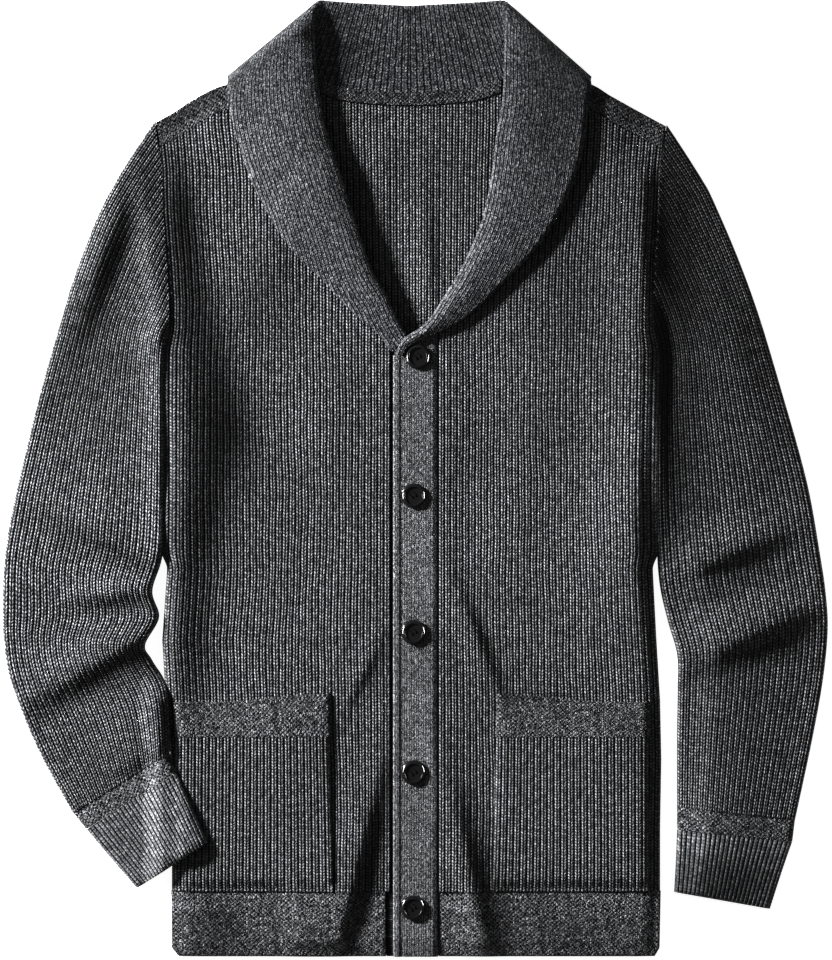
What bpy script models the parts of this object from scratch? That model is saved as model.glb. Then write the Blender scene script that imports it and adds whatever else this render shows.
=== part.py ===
"""Ribbed shawl-collar cardigan, buttoned up and lying flat with its front up.

X runs from the wearer's right to the wearer's left, Y from the hem to the collar and Z up
from the surface that the garment lies on. Sizes in the tables are real sizes in millimetres.
Every cloth piece is a knitted wall of real thickness. Its upper, or outer, points carry the
ribs, and its lower, or inner, points are plain. The last step centres the garment on the
origin.
"""

from collections import namedtuple

import bmesh
import bpy
import numpy as np

MM = 0.001

# Knit thicknesses
WALL = 2.6  # floor of a rib's groove, over the plain side
RIB_RISE = 1.2  # ridge over the groove
FINE_WALL = 3.0  # collar, whose rib is too fine to raise
BAND_WALL = 2.8  # button bands
MOSS_WALL = 3.2  # moss stitch on the back hem
STRIP_WALL = 3.6  # moss stitch on the fronts, welts and shoulders
SEAM_GAP = 0.3

# Rib pitches
BODY_RIB = 5.3
SLEEVE_RIBS = 22  # across the upper side of a sleeve
CUFF_RIBS = 20
POCKET_RIB = 5.9

# Layers above the surface
BACK_TOP = WALL + RIB_RISE
FRONT_LOW = BACK_TOP + SEAM_GAP
FRONT_TOP = FRONT_LOW + WALL + RIB_RISE
TUBE_SLIT = 1.5  # between the two sides of a flattened sleeve
TUBE_SIDE_WALL = 3.4  # across a sleeve's folded edge
DRAPE_HEIGHT = FRONT_TOP + 4.4  # of the right cuff, which lies over the pocket
DRAPE_RUN = 25.0  # width over which it comes up from the surface
DRAPE_Y = (-158.0, -186.0)
COLLAR_LIFT = 3.45  # body over the fall that lies under it at the back neck
EDGE_ROUND = 5.0  # radius over which a folded edge rounds down
PANEL_EDGE_DROP = (2.6, 1.0)  # how far a front's side edge sinks, above and below

# Hem, bands and pockets
HEM_LOW = -395.0
HEM_HIGH = -341.0
BAND_LEFT_X = -17.0  # free edge of the upper button band
BAND_RIGHT_X = 18.4
PANEL_EDGE_X = (-24.8, 18.8)  # where the right and left front meet their bands
STRIP_DEPTH = 21.0  # shoulder strip
NECK_END_X = (-97.8, 86.8)
NECK_CENTRE_X = -5.3
NECK_STRIP_HALF = 72.0
NECK_STRIP_DEPTH = 10.5
NECK_STRIP_LOW = 6.9  # on the collar's stand
NECK_STRIP_TOP = 9.0
BACK_RIB_HALF = 71.0  # half width of the back that shows in the neck opening
NECK_SHARE = 0.4  # of a front's width, from its band, that ends at the collar
NECK_POINT = 92.4  # from the centre to where the shoulder line meets the collar's seam
BACK_HALF = 212.0
NECK_SEAM_GAP = 0.8  # between a front and the collar, measured across
ARMHOLE_GAP = 1.1
ARMHOLE_LOW = 100.0  # no rib of a sleeve meets the body below this height
LIFT_Y = (248.0, 286.0)
LIFT_X = (160.0, 192.0)

# Buttons
BUTTON_RADIUS = 10.3
BUTTON_X = (1.5, -2.0, -2.0, -2.0, -2.5)
BUTTON_Y = (102.0, -13.0, -126.0, -242.0, -354.0)
BUTTON_SEGMENTS = 16
THREAD_HOLE_RADIUS = 1.0
THREAD_HOLE_OFFSET = 1.9

SideRow = namedtuple("SideRow", "y right left")
SIDES = (
    SideRow(-395, -197, 198),
    SideRow(-388, -202.5, 202),
    SideRow(-340, -203, 203),
    SideRow(-290, -203, 203),
    SideRow(-232, -204, 204),
    SideRow(-183, -208, 203),
    SideRow(-133, -211, 200),
    SideRow(-76, -207, 197),
    SideRow(-17, -206.5, 196),
    SideRow(66, -206.5, 197),
    SideRow(148, -206, 198),
    SideRow(181, -208, 199),
    SideRow(222, -211, 202),
    SideRow(257, -212, 204),
    SideRow(296, -216, 208),
)

ShoulderRow = namedtuple("ShoulderRow", "y right left")
SHOULDER = (
    ShoulderRow(292, -220, 210),
    ShoulderRow(299, -209, 197),
    ShoulderRow(305, -198, 186),
    ShoulderRow(312, -188, 173),
    ShoulderRow(319, -176, 160),
    ShoulderRow(325, -164, 151),
    ShoulderRow(327.5, -157, 146),
    ShoulderRow(338, -96, 85),
)

# A section runs across the sleeve from its outer folded edge to its inner one. Above the
# underarm the inner points lie inside the body, where the armhole cuts the ribs.
SectionRow = namedtuple("SectionRow", "outer_x outer_y inner_x inner_y")
RIGHT_SLEEVE = (
    SectionRow(-286, -275, -208, -219),
    SectionRow(-314, -224, -210, -176),
    SectionRow(-337, -166, -219, -150),
    SectionRow(-342.5, -133, -225, -137),
    SectionRow(-343.5, -108, -213.5, -114),
    SectionRow(-342, -66, -219, -92),
    SectionRow(-337, -33, -210.5, -62),
    SectionRow(-330, 0, -209, -17),
    SectionRow(-314, 66, -209, 46),
    SectionRow(-295, 133, -208, 108),
    SectionRow(-285, 166, -198, 134),
    SectionRow(-266, 216, -178, 174),
    SectionRow(-249, 249, -161, 199),
    SectionRow(-228, 282, -142, 228),
    SectionRow(-208, 310, -125, 252),
)
LEFT_SLEEVE = (
    SectionRow(315, -280, 217, -269),
    SectionRow(329, -216, 217, -212),
    SectionRow(338, -166, 217.5, -174),
    SectionRow(342, -124, 217, -145),
    SectionRow(340, -91, 209, -116),
    SectionRow(335, -58, 202, -83),
    SectionRow(328, -17, 199, -33),
    SectionRow(320, 17, 198.5, 4),
    SectionRow(306, 66, 199, 50),
    SectionRow(286, 133, 200, 108),
    SectionRow(268, 183, 186, 151),
    SectionRow(247, 232, 163, 191),
    SectionRow(238, 249, 153, 209),
    SectionRow(217, 282, 132, 235),
    SectionRow(198, 310, 115, 258),
)
RIGHT_STRIP = (SectionRow(-274, -290, -201, -241), SectionRow(-285.6, -275.4, -207.6, -219.6))
LEFT_STRIP = (SectionRow(312.6, -300, 217, -290), SectionRow(315, -280.5, 217, -269.5))
RIGHT_CUFF = (
    SectionRow(-232, -339, -173, -300),
    SectionRow(-252, -316, -187, -272),
    SectionRow(-273.7, -290.3, -201, -241.5),
)
LEFT_CUFF = (
    SectionRow(294, -356, 214.5, -342),
    SectionRow(304, -325, 216, -316),
    SectionRow(312.5, -300.4, 217, -290.4),
)

# Soft folds of the sleeves: middle, direction in degrees, half length, half width, height
FoldRow = namedtuple("FoldRow", "x y turn half_length half_width rise")
RIGHT_FOLDS = (
    FoldRow(-262, -80, 12, 62, 9, 3.4),
    FoldRow(-258, -117, -8, 60, 11, 3.0),
    FoldRow(-275, -150, 28, 70, 12, 3.2),
    FoldRow(-290, -45, -20, 55, 12, 1.8),
    FoldRow(-222, 225, -78, 60, 7, 2.6),
)
LEFT_FOLDS = (
    FoldRow(262, -92, -14, 66, 14, 2.4),
    FoldRow(268, -60, -22, 62, 14, 1.8),
    FoldRow(262, -140, 6, 60, 14, 2.0),
    FoldRow(214, 225, 78, 60, 7, 2.4),
)

# The collar, one row a section from the wearer's right tip round the back to the left tip.
# seam is where it is sewn to the body, roll the folded edge, outer the free edge of the fall.
# Heights are those of the middle of the wall. turn is 0 where the fall lies on top and 180
# where it lies underneath, behind the neck.
CollarRow = namedtuple(
    "CollarRow", "seam_x seam_y roll_x roll_y outer_x outer_y seam_z roll_z outer_z turn"
)
COLLAR = (
    CollarRow(-14.9, 112.4, -7.7, 120.2, -20, 105.6, 6.0, 8.1, 10.2, 0),
    CollarRow(-26, 130, -16, 135, -35, 124.5, 6.0, 8.1, 10.2, 0),
    CollarRow(-40, 149, -25, 154, -51, 137, 6.0, 8.1, 10.2, 0),
    CollarRow(-56, 172, -37, 176, -76, 164, 6.0, 8.1, 10.2, 0),
    CollarRow(-72, 213, -52, 221, -105, 193, 6.0, 8.1, 10.2, 0),
    CollarRow(-85, 252, -66, 265, -131, 236, 6.3, 9.3, 10.4, 0),
    CollarRow(-91, 283, -74, 290, -146, 275, 9.0, 11.4, 13.1, 0),
    CollarRow(-94, 310, -80, 322, -153, 303, 9.3, 11.4, 13.6, 0),
    CollarRow(-95.3, 335, -84, 361, -156, 324, 9.3, 11.4, 13.6, 0),
    CollarRow(-95.8, 342, -84, 386, -155, 330, 9.2, 10.8, 12.6, 40),
    CollarRow(-96.3, 344, -79, 396.5, -155.5, 334, 7.4, 7.6, 7.5, 90),
    CollarRow(-94, 339.5, -72, 397.5, -154.5, 331.5, 5.6, 4.6, 2.15, 140),
    CollarRow(-88, 330, -62, 397, -147, 313, 4.9, 3.66, 1.6, 180),
    CollarRow(-68, 316.5, -46, 396, -105, 296, 4.8, 3.66, 1.6, 180),
    CollarRow(-38, 312, -26, 395, -58, 291.5, 4.8, 3.66, 1.6, 180),
    CollarRow(-5.3, 310.5, -5.3, 394, -5.3, 290.5, 4.8, 3.66, 1.6, 180),
    CollarRow(27, 312, 15, 395, 47, 291.5, 4.8, 3.66, 1.6, 180),
    CollarRow(57, 316.5, 36, 396, 94, 296, 4.8, 3.66, 1.6, 180),
    CollarRow(77, 330, 54, 397, 136, 313, 4.9, 3.66, 1.6, 180),
    CollarRow(83, 339.5, 64, 397.5, 143.5, 331, 5.6, 4.6, 2.15, 140),
    CollarRow(85.3, 344, 72, 396.5, 144.5, 333.5, 7.4, 7.6, 7.5, 90),
    CollarRow(84.8, 342, 74, 386, 144, 329.5, 9.2, 10.8, 12.6, 40),
    CollarRow(84.5, 335, 73.5, 360, 145, 323, 9.3, 11.4, 13.6, 0),
    CollarRow(84, 308, 71.5, 316, 142, 302, 9.3, 11.4, 13.6, 0),
    CollarRow(82, 280, 66, 284, 138.5, 273, 8.9, 11.4, 13.0, 0),
    CollarRow(77, 248, 62.5, 254, 126, 235, 6.2, 8.8, 10.4, 0),
    CollarRow(67, 212, 54, 214, 104, 197, 6.0, 8.1, 10.2, 0),
    CollarRow(52, 170, 37.5, 176, 72, 163, 6.0, 8.1, 10.2, 0),
    CollarRow(35, 143, 24, 153.5, 46, 138.5, 6.0, 8.1, 10.2, 0),
    CollarRow(18, 128, 11.6, 134.5, 24, 125, 7.6, 9.6, 11.6, 0),
    CollarRow(6, 121.5, 3, 126, 8.5, 118.5, 9.0, 10.9, 12.2, 0),
    CollarRow(-8, 113.5, -11, 116.5, -5.5, 111.5, 9.0, 10.9, 12.2, 0),
    CollarRow(-13.4, 103.6, -17.2, 104.6, -10.8, 103, 9.0, 10.9, 12.2, 0),
)
COLLAR_ROLL_RADIUS = 2.1
BACK_ROWS = (10, 20)  # first and last section whose seam is the back neck
RIGHT_ROWS = (0, 10)
LEFT_ROWS = (20, 29)  # down to where the band begins

# Row numbers at which the collar's solid has a section, closer where it bends
StationRow = namedtuple("StationRow", "start stop step")
STATIONS = (
    StationRow(0, 4, 1),
    StationRow(4, 9, 0.5),
    StationRow(9, 12, 0.5),
    StationRow(12, 18, 1),
    StationRow(18, 22, 0.5),
    StationRow(22, 28, 0.75),
    StationRow(28, 32.5, 0.5),
)
COLLAR_STATIONS = np.concatenate([np.arange(*row) for row in STATIONS])


def smoothstep(start, end, value):
    t = np.clip((np.asarray(value, float) - start) / (end - start), 0, 1)
    return t * t * (3 - 2 * t)


def spline(rows, at):
    """Catmull-Rom curve through the rows of a table, read at fractional row numbers."""
    rows = np.asarray(rows, float)
    at = np.clip(np.asarray(at, float), 0, len(rows) - 1)
    low = np.minimum(at.astype(int), len(rows) - 2)
    f = (at - low)[..., None]
    before = rows[np.maximum(low - 1, 0)]
    first, second = rows[low], rows[low + 1]
    after = rows[np.minimum(low + 2, len(rows) - 1)]
    bend = 2 * before - 5 * first + 4 * second - after + f * (3 * (first - second) + after - before)
    return first + 0.5 * f * (second - before + f * bend)


def lift(x, y):
    """Height by which the body lies over the fall at the back of the neck."""
    across = 1 - smoothstep(*LIFT_X, np.abs(np.asarray(x) - NECK_CENTRE_X))
    return COLLAR_LIFT * smoothstep(*LIFT_Y, y) * across


def side_x(y, side):
    """X of the side seam and armhole at a height y."""
    column = [row.right if side < 0 else row.left for row in SIDES]
    return np.interp(y, [row.y for row in SIDES], column)


def shoulder_y(x):
    """Y of the shoulder line, or the neck point's between the two shoulders."""
    rows = sorted((row.right, row.y) for row in SHOULDER) + sorted(
        (row.left, row.y) for row in SHOULDER
    )
    return np.interp(x, [row[0] for row in rows], [row[1] for row in rows])


def seam_curve(rows):
    """Points of the collar's seam between two rows of its table."""
    first, last = rows
    inside = (COLLAR_STATIONS >= first) & (COLLAR_STATIONS <= last)
    return spline(COLLAR, COLLAR_STATIONS[inside])[:, :2]


def front_top_y(x, side):
    """Top of a front panel at x: under the shoulder strip, or along the collar's seam."""
    curve = seam_curve(RIGHT_ROWS if side < 0 else LEFT_ROWS)
    curve = curve[np.argsort(curve[:, 0])]
    neck = np.interp(np.asarray(x) - NECK_SEAM_GAP * side, curve[:, 0], curve[:, 1])
    strip = shoulder_y(x) - STRIP_DEPTH
    inside = side * np.asarray(x) < side * NECK_END_X[0 if side < 0 else 1]
    return np.where(inside, np.minimum(neck, strip), strip)


def back_top_y(x):
    """Top of the back: the shoulder line, or the back neck between the neck points."""
    curve = seam_curve(BACK_ROWS)
    off_centre = np.abs(np.asarray(x) - NECK_CENTRE_X)
    corner = 3.0 * smoothstep(NECK_POINT - 18, NECK_POINT - 4, off_centre)
    neck = np.interp(x, curve[:, 0], curve[:, 1]) - 2 * SEAM_GAP - corner
    return np.where(off_centre < NECK_POINT, neck, shoulder_y(x))


def new_object(name, bm, colour, roughness, smooth=False):
    """Makes the object and its own material from a finished bmesh."""
    bmesh.ops.recalc_face_normals(bm, faces=bm.faces)
    mesh = bpy.data.meshes.new(name)
    bm.to_mesh(mesh)
    bm.free()
    mesh.shade_smooth() if smooth else mesh.shade_flat()
    material = bpy.data.materials.new(name)
    material.use_nodes = True
    shader = material.node_tree.nodes["Principled BSDF"]
    shader.inputs["Base Color"].default_value = (*colour, 1)
    shader.inputs["Roughness"].default_value = roughness
    shader.inputs["Metallic"].default_value = 0.0
    mesh.materials.append(material)
    obj = bpy.data.objects.new(name, mesh)
    bpy.context.scene.collection.objects.link(obj)
    return obj


CHARCOAL = (0.048, 0.052, 0.057)
COLLAR_GREY = (0.075, 0.079, 0.085)
GLOSS_BLACK = (0.006, 0.006, 0.007)
WOOL_ROUGH = 0.95


def add_rows(bm, rows, closed):
    """Adds a grid of points and the faces between its rows. Returns its vertices."""
    verts = [[bm.verts.new(point * MM) for point in row] for row in rows]
    for low, high in zip(verts, verts[1:]):
        count = len(low)
        for k in range(count if closed else count - 1):
            after = (k + 1) % count
            bm.faces.new((low[k], low[after], high[after], high[k]))
    return verts


def zip_edges(bm, first, first_at, second, second_at):
    """Triangles between two rows of vertices, each with its place along the edge from 0 to 1."""
    i = j = 0
    while i < len(first) - 1 or j < len(second) - 1:
        if j == len(second) - 1 or (i < len(first) - 1 and first_at[i + 1] <= second_at[j + 1]):
            bm.faces.new((first[i], first[i + 1], second[j]))
            i += 1
        else:
            bm.faces.new((first[i], second[j + 1], second[j]))
            j += 1


def make_panel(name, upper, upper_at, lower, lower_at, colour=CHARCOAL):
    """A flat wall: upper and lower are grids of points with the same number of rows."""
    bm = bmesh.new()
    top = add_rows(bm, upper, closed=False)
    bottom = add_rows(bm, lower, closed=False)
    for k in (0, -1):
        for r in range(len(top) - 1):
            bm.faces.new((top[r][k], top[r + 1][k], bottom[r + 1][k], bottom[r][k]))
        zip_edges(bm, top[k], upper_at, bottom[k], lower_at)
    return new_object(name, bm, colour, WOOL_ROUGH)


def make_tube(name, outer, outer_at, inner, inner_at, colour=CHARCOAL):
    """A tube open at both ends: outer and inner are stacks of closed rings."""
    bm = bmesh.new()
    skin = add_rows(bm, outer, closed=True)
    lining = add_rows(bm, inner, closed=True)
    for k in (0, -1):
        zip_edges(
            bm,
            skin[k] + skin[k][:1],
            list(outer_at) + [1.0],
            lining[k] + lining[k][:1],
            list(inner_at) + [1.0],
        )
    return new_object(name, bm, colour, WOOL_ROUGH)


def rib_columns(width, pitch):
    """Places across a panel from 0 to 1, two a rib, and the rise of the knit at each."""
    ribs = max(2, round(width / pitch))
    at = np.linspace(0, 1, 2 * ribs + 1)
    rise = RIB_RISE * (np.arange(len(at)) % 2)
    return at, rise


def coarse(at, step, fine_end=0.0):
    """Every step-th place, every second one before fine_end, and always the last."""
    last = len(at) - 1
    picks = [k for k in range(last) if k % step == 0 or (k % 2 == 0 and at[k] < fine_end)]
    return np.asarray(at)[picks + [last]]


def edge_drop(distance, radius=EDGE_ROUND):
    """0 inside a panel, rising to 1 at its rounded edge."""
    near = np.clip(1 - np.asarray(distance) / radius, 0, 1)
    return 1 - np.sqrt(1 - near * near)


def front_panel(name, side):
    """A front: ribs run from the hem band up to the shoulder strip and the collar's seam."""
    inner_x = PANEL_EDGE_X[0 if side < 0 else 1]
    width = abs(side_x(0, side) - inner_x)
    at, rise = rib_columns(width, BODY_RIB)
    low_at = coarse(at, 6, fine_end=NECK_SHARE)
    heights = np.array([0, 0.26, 0.52, 0.74, 0.86, 0.93, 0.965, 1.0])

    def across(y, share):
        return inner_x + (side_x(y, side) - SEAM_GAP * side - inner_x) * share

    def place(share, height):
        top = np.full_like(share, LIFT_Y[1])
        for _ in range(4):
            top = front_top_y(across(top, share), side)
        y = HEM_HIGH + SEAM_GAP + (top - HEM_HIGH - SEAM_GAP) * height
        return across(y, share), y, width * (1 - share)

    upper, lower = [], []
    for height in heights:
        x, y, distance = place(at, height)
        z = FRONT_LOW + lift(x, y) + WALL + rise - PANEL_EDGE_DROP[0] * edge_drop(distance)
        upper.append(np.stack([x, y, z], -1))
        x, y, distance = place(low_at, height)
        z = FRONT_LOW + lift(x, y) - PANEL_EDGE_DROP[1] * edge_drop(distance)
        lower.append(np.stack([x, y, z], -1))
    return make_panel(name, upper, at, lower, low_at)


def back_panel():
    """The back: plain where it lies on the surface, ribbed above where the neck shows it."""
    ribs = round(2 * BACK_RIB_HALF / BODY_RIB)
    middle = np.linspace(-BACK_RIB_HALF, BACK_RIB_HALF, 2 * ribs + 1) + NECK_CENTRE_X
    rise_middle = RIB_RISE * (np.arange(len(middle)) % 2)
    right = -BACK_HALF * np.array([1, 0.95, 0.88, 0.8, 0.72, 0.62, 0.52, 0.46, 0.42])
    left = -right[::-1] - 8
    xs = np.concatenate([right, middle, left])
    rise = np.concatenate([0 * right, rise_middle, 0 * left])
    low_xs = np.concatenate([right, middle[::2], left])
    heights = np.array([0, 0.25, 0.5, 0.77, 0.84, 0.9, 0.93, 0.965, 1.0])

    def place(base_x, height):
        top = back_top_y(base_x)
        y = HEM_HIGH + SEAM_GAP + (top - HEM_HIGH - SEAM_GAP) * height
        half_right = side_x(y, -1) + SEAM_GAP
        half_left = side_x(y, 1) - SEAM_GAP
        x = np.where(base_x < 0, base_x / right[0] * half_right, base_x / left[-1] * half_left)
        return x, y

    upper, lower = [], []
    for height in heights:
        x, y = place(xs, height)
        upper.append(np.stack([x, y, lift(x, y) + WALL + rise], -1))
        x, y = place(low_xs, height)
        lower.append(np.stack([x, y, lift(x, y)], -1))
    span = xs[-1] - xs[0]
    return make_panel("back_panel", upper, (xs - xs[0]) / span, lower, (low_xs - xs[0]) / span)


def hem_band(name, low, start, end, thickness=MOSS_WALL, columns=8):
    """A moss stitch hem between two edge functions of y, rounded at its outer corners."""
    at = np.linspace(0, 1, columns + 1)
    upper, lower = [], []
    for y in (HEM_LOW, HEM_LOW + 3, HEM_LOW + 8, HEM_HIGH):
        x = start(y) + (end(y) - start(y)) * at
        rows = np.full_like(x, y)
        soft = 0.9 * edge_drop(y - HEM_LOW)
        upper.append(np.stack([x, rows, np.full_like(x, low + thickness - soft)], -1))
        lower.append(np.stack([x, rows, np.full_like(x, low)], -1))
    return make_panel(name, upper, at, lower, at)


def hem_bands():
    hem_band("back_hem", 0.0, lambda y: side_x(y, -1), lambda y: side_x(y, 1), columns=12)
    low = FRONT_LOW
    hem_band("right_front_hem", low, lambda y: side_x(y, -1), lambda y: PANEL_EDGE_X[0], STRIP_WALL)
    hem_band("left_front_hem", low, lambda y: PANEL_EDGE_X[1], lambda y: side_x(y, 1), STRIP_WALL)


def shoulder_strip(name, side):
    """Moss stitch strip along the shoulder, whose top folds down to the back."""
    outer = side_x(LIFT_Y[1], side) - 2 * SEAM_GAP * side
    inner = NECK_END_X[0 if side < 0 else 1]
    at = np.linspace(0, 1, 17)
    start_x = outer + (inner - outer) * at
    upper, lower = [], []
    for share, drop, base_drop in ((0, 0, 0), (0.5, 0, 0), (0.85, 0.6, 0.2), (1, 2.6, 1.0)):
        x = start_x
        for _ in range(4):
            y = shoulder_y(x) - (STRIP_DEPTH - 2 * SEAM_GAP) * (1 - share)
            x = start_x + (side_x(y, side) - side_x(LIFT_Y[1], side)) * (1 - at) ** 3
        base = FRONT_LOW + lift(x, y)
        upper.append(np.stack([x, y, base + STRIP_WALL - drop], -1))
        lower.append(np.stack([x, y, base - base_drop], -1))
    return make_panel(name, upper, at, lower, at)


def neck_strip():
    """Moss stitch strip that covers the back neck seam on the inside."""
    x = np.linspace(-NECK_STRIP_HALF, NECK_STRIP_HALF, 15) + NECK_CENTRE_X
    curve = seam_curve(BACK_ROWS)
    seam = np.interp(x, curve[:, 0], curve[:, 1])
    at = np.linspace(0, 1, len(x))
    upper, lower = [], []
    for share, drop in ((0, 0.5), (0.15, 0), (0.85, 0), (1, 0.5)):
        y = seam + 0.4 + NECK_STRIP_DEPTH * share
        upper.append(np.stack([x, y, np.full_like(x, NECK_STRIP_TOP - drop)], -1))
        lower.append(np.stack([x, y, np.full_like(x, NECK_STRIP_LOW)], -1))
    return make_panel("back_neck_strip", upper, at, lower, at)


def drape(x, y):
    """Height of the right sleeve's end where it lies over the side of the body and pocket."""
    side = side_x(y, -1)
    over = smoothstep(side - DRAPE_RUN, side - 5, x)
    return DRAPE_HEIGHT * over * smoothstep(*DRAPE_Y, y)


def fold_height(x, y, folds):
    """Sum of the soft folds at a point."""
    total = np.zeros_like(x)
    for fold in folds:
        turn = np.radians(fold.turn)
        along = (x - fold.x) * np.cos(turn) + (y - fold.y) * np.sin(turn)
        across = (y - fold.y) * np.cos(turn) - (x - fold.x) * np.sin(turn)
        total += fold.rise * np.exp(-((along / fold.half_length) ** 2) - (across / fold.half_width) ** 2)
    return total


def armhole_end(sections, side, c):
    """Row number at which the rib at place c, from -1 outside to 1 inside, meets the armhole."""
    numbers = np.linspace(0, len(sections) - 1, 400)
    rows = spline(sections, numbers)
    share = (np.asarray(c)[:, None] + 1) / 2
    x = rows[:, 0] + (rows[:, 2] - rows[:, 0]) * share
    y = rows[:, 1] + (rows[:, 3] - rows[:, 1]) * share
    limit = side_x(y, side)
    beyond = side * x < side * limit + ARMHOLE_GAP
    beyond |= (y > shoulder_y(x)) & (side * x < side * limit + 2 * ARMHOLE_GAP)
    beyond &= y > ARMHOLE_LOW
    beyond[:, -1] = True
    return numbers[np.argmax(beyond, axis=1)]


def flat_tube(name, sections, ribs, heights, side, base=None, folds=(), cut=False, rise=RIB_RISE):
    """A flattened tube of knit: ribbed above, plain below where it lies on the surface."""
    top_c = np.linspace(-1, 1, 2 * ribs + 1)
    low_c = np.linspace(1, -1, 13)[1:-1]
    slit_c = np.linspace(-1, 1, 9)
    slit_low_c = slit_c[::-1][1:-1]
    ridge = rise * (np.arange(len(top_c)) % 2)
    base = base or (lambda x, y: np.zeros_like(x))

    def place(c, height):
        last = armhole_end(sections, side, c) if cut else np.full_like(c, len(sections) - 1.0)
        rows = spline(sections, last * height)
        share = (c + 1) / 2
        x = rows[:, 0] + (rows[:, 2] - rows[:, 0]) * share
        y = rows[:, 1] + (rows[:, 3] - rows[:, 1]) * share
        half = np.hypot(rows[:, 2] - rows[:, 0], rows[:, 3] - rows[:, 1]) / 2
        return x, y, half

    def ring(c_up, c_low, height, inset, top, bottom, relief, round_off):
        middle = (top + bottom) / 2
        parts = []
        for c, surface, extra in ((c_up, top, relief), (c_low, bottom, 0)):
            half = place(c, height)[2]
            squeezed = c * (1 - inset / half)
            x, y, half = place(squeezed, height)
            full = 1 - edge_drop((1 - np.abs(c)) * half, round_off)
            z = middle + (surface + extra - middle) * full
            lifted = fold_height(x, y, folds) * full if surface == top else 0
            parts.append(np.stack([x, y, z + base(x, y) + lifted], -1))
        return np.concatenate(parts)

    outer, inner = [], []
    slit_low = WALL
    slit_top = WALL + TUBE_SLIT
    for height in heights:
        outer.append(ring(top_c, low_c, height, 0, slit_top + WALL, 0, ridge, EDGE_ROUND))
        inner.append(ring(slit_c, slit_low_c, height, TUBE_SIDE_WALL, slit_top, slit_low, 0, 4.0))

    def places(c_up, c_low):
        return np.concatenate([(c_up + 1) / 4, 0.5 + (1 - c_low) / 4])

    return make_tube(name, outer, places(top_c, low_c), inner, places(slit_c, slit_low_c))


def sleeves():
    heights = np.array(
        [0, 0.09, 0.17, 0.23, 0.28, 0.33, 0.38, 0.44, 0.51, 0.59, 0.67, 0.75, 0.83, 0.91, 1.0]
    )
    flat_tube(
        "right_sleeve", RIGHT_SLEEVE, SLEEVE_RIBS, heights, -1, drape, RIGHT_FOLDS, cut=True
    )
    flat_tube("left_sleeve", LEFT_SLEEVE, SLEEVE_RIBS, heights, 1, None, LEFT_FOLDS, cut=True)
    ends = np.array([0, 0.5, 1])
    flat_tube("right_sleeve_strip", RIGHT_STRIP, 6, ends, -1, drape, rise=0.6)
    flat_tube("left_sleeve_strip", LEFT_STRIP, 6, ends, 1, rise=0.6)
    flat_tube("right_cuff", RIGHT_CUFF, CUFF_RIBS, np.array([0, 0.33, 0.66, 1]), -1, drape, rise=0.9)
    flat_tube("left_cuff", LEFT_CUFF, CUFF_RIBS, np.array([0, 0.5, 1]), 1, rise=0.9)


def collar():
    """The shawl collar: stand, rolled edge and fall, swept through the table's sections."""
    rows = spline(COLLAR, COLLAR_STATIONS)
    seam, roll, outer = rows[:, 0:2], rows[:, 2:4], rows[:, 4:6]
    mirror = np.where(COLLAR_STATIONS <= 15, 1.0, -1.0)[:, None]

    def unit(v):
        return v / np.linalg.norm(v, axis=-1, keepdims=True)

    bulge = -unit(unit(outer - roll) + unit(seam - roll))
    aside = np.stack([-bulge[:, 1], bulge[:, 0]], -1) * mirror
    turn = np.radians(rows[:, 9])[:, None]
    across = np.concatenate([np.sin(turn) * aside, np.cos(turn)], -1)
    forward = np.concatenate([bulge, np.zeros((len(rows), 1))], -1)
    centre = np.concatenate([roll, rows[:, 7:8]], -1) - forward * (COLLAR_ROLL_RADIUS + FINE_WALL / 2)
    start = np.concatenate([seam, rows[:, 6:7]], -1)
    stop = np.concatenate([outer, rows[:, 8:9]], -1)
    columns = []
    for share in (0, 0.5):
        columns.append(start + (centre - across * COLLAR_ROLL_RADIUS - start) * share)
    for angle in np.radians([0, 45, 90, 135, 180]):
        columns.append(centre + COLLAR_ROLL_RADIUS * (np.sin(angle) * forward - np.cos(angle) * across))
    fall = centre + across * COLLAR_ROLL_RADIUS
    for share in (0.35, 0.7, 1):
        columns.append(fall + (stop - fall) * share)
    middle = np.stack(columns, 1)
    along = np.gradient(middle, axis=0)
    side = np.gradient(middle, axis=1)
    normal = np.cross(side, along)
    normal /= np.maximum(np.linalg.norm(normal, axis=-1, keepdims=True), 1e-9)
    at = np.linspace(0, 1, middle.shape[1])
    half = normal * FINE_WALL / 2
    return make_panel("collar", middle + half, at, middle - half, at, COLLAR_GREY)


# Top edges of the button bands, below the collar's tips
EdgeRow = namedtuple("EdgeRow", "x y")
UNDER_BAND_TOP = (
    EdgeRow(-24.4, 126.2),
    EdgeRow(-20, 119.2),
    EdgeRow(-15.6, 111.8),
    EdgeRow(-8, 116.8),
    EdgeRow(0, 119),
    EdgeRow(7, 121),
)
OVER_BAND_TOP_LINE = (
    EdgeRow(BAND_LEFT_X, 103.4),
    EdgeRow(-16, 103.2),
    EdgeRow(-12.6, 102.2),
    EdgeRow(-7.2, 112),
    EdgeRow(0, 117),
    EdgeRow(6, 120.5),
    EdgeRow(9, 122.3),
    EdgeRow(12.5, 124.2),
    EdgeRow(15.5, 125.8),
    EdgeRow(BAND_RIGHT_X, 127.2),
)


def under_band():
    x = np.array([row.x for row in UNDER_BAND_TOP])
    top = np.array([row.y for row in UNDER_BAND_TOP])
    at = (x - x[0]) / (x[-1] - x[0])
    upper, lower = [], []
    for share in (0, 0.5, 1):
        y = HEM_LOW + (top - HEM_LOW) * share
        soft = np.where((at == 0) | (at == 1), 0.5, 0)
        upper.append(np.stack([x, y, FRONT_LOW + BAND_WALL - soft], -1))
        lower.append(np.stack([x, y, np.full_like(x, FRONT_LOW)], -1))
    return make_panel("under_band", upper, at, lower, at)


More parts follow.
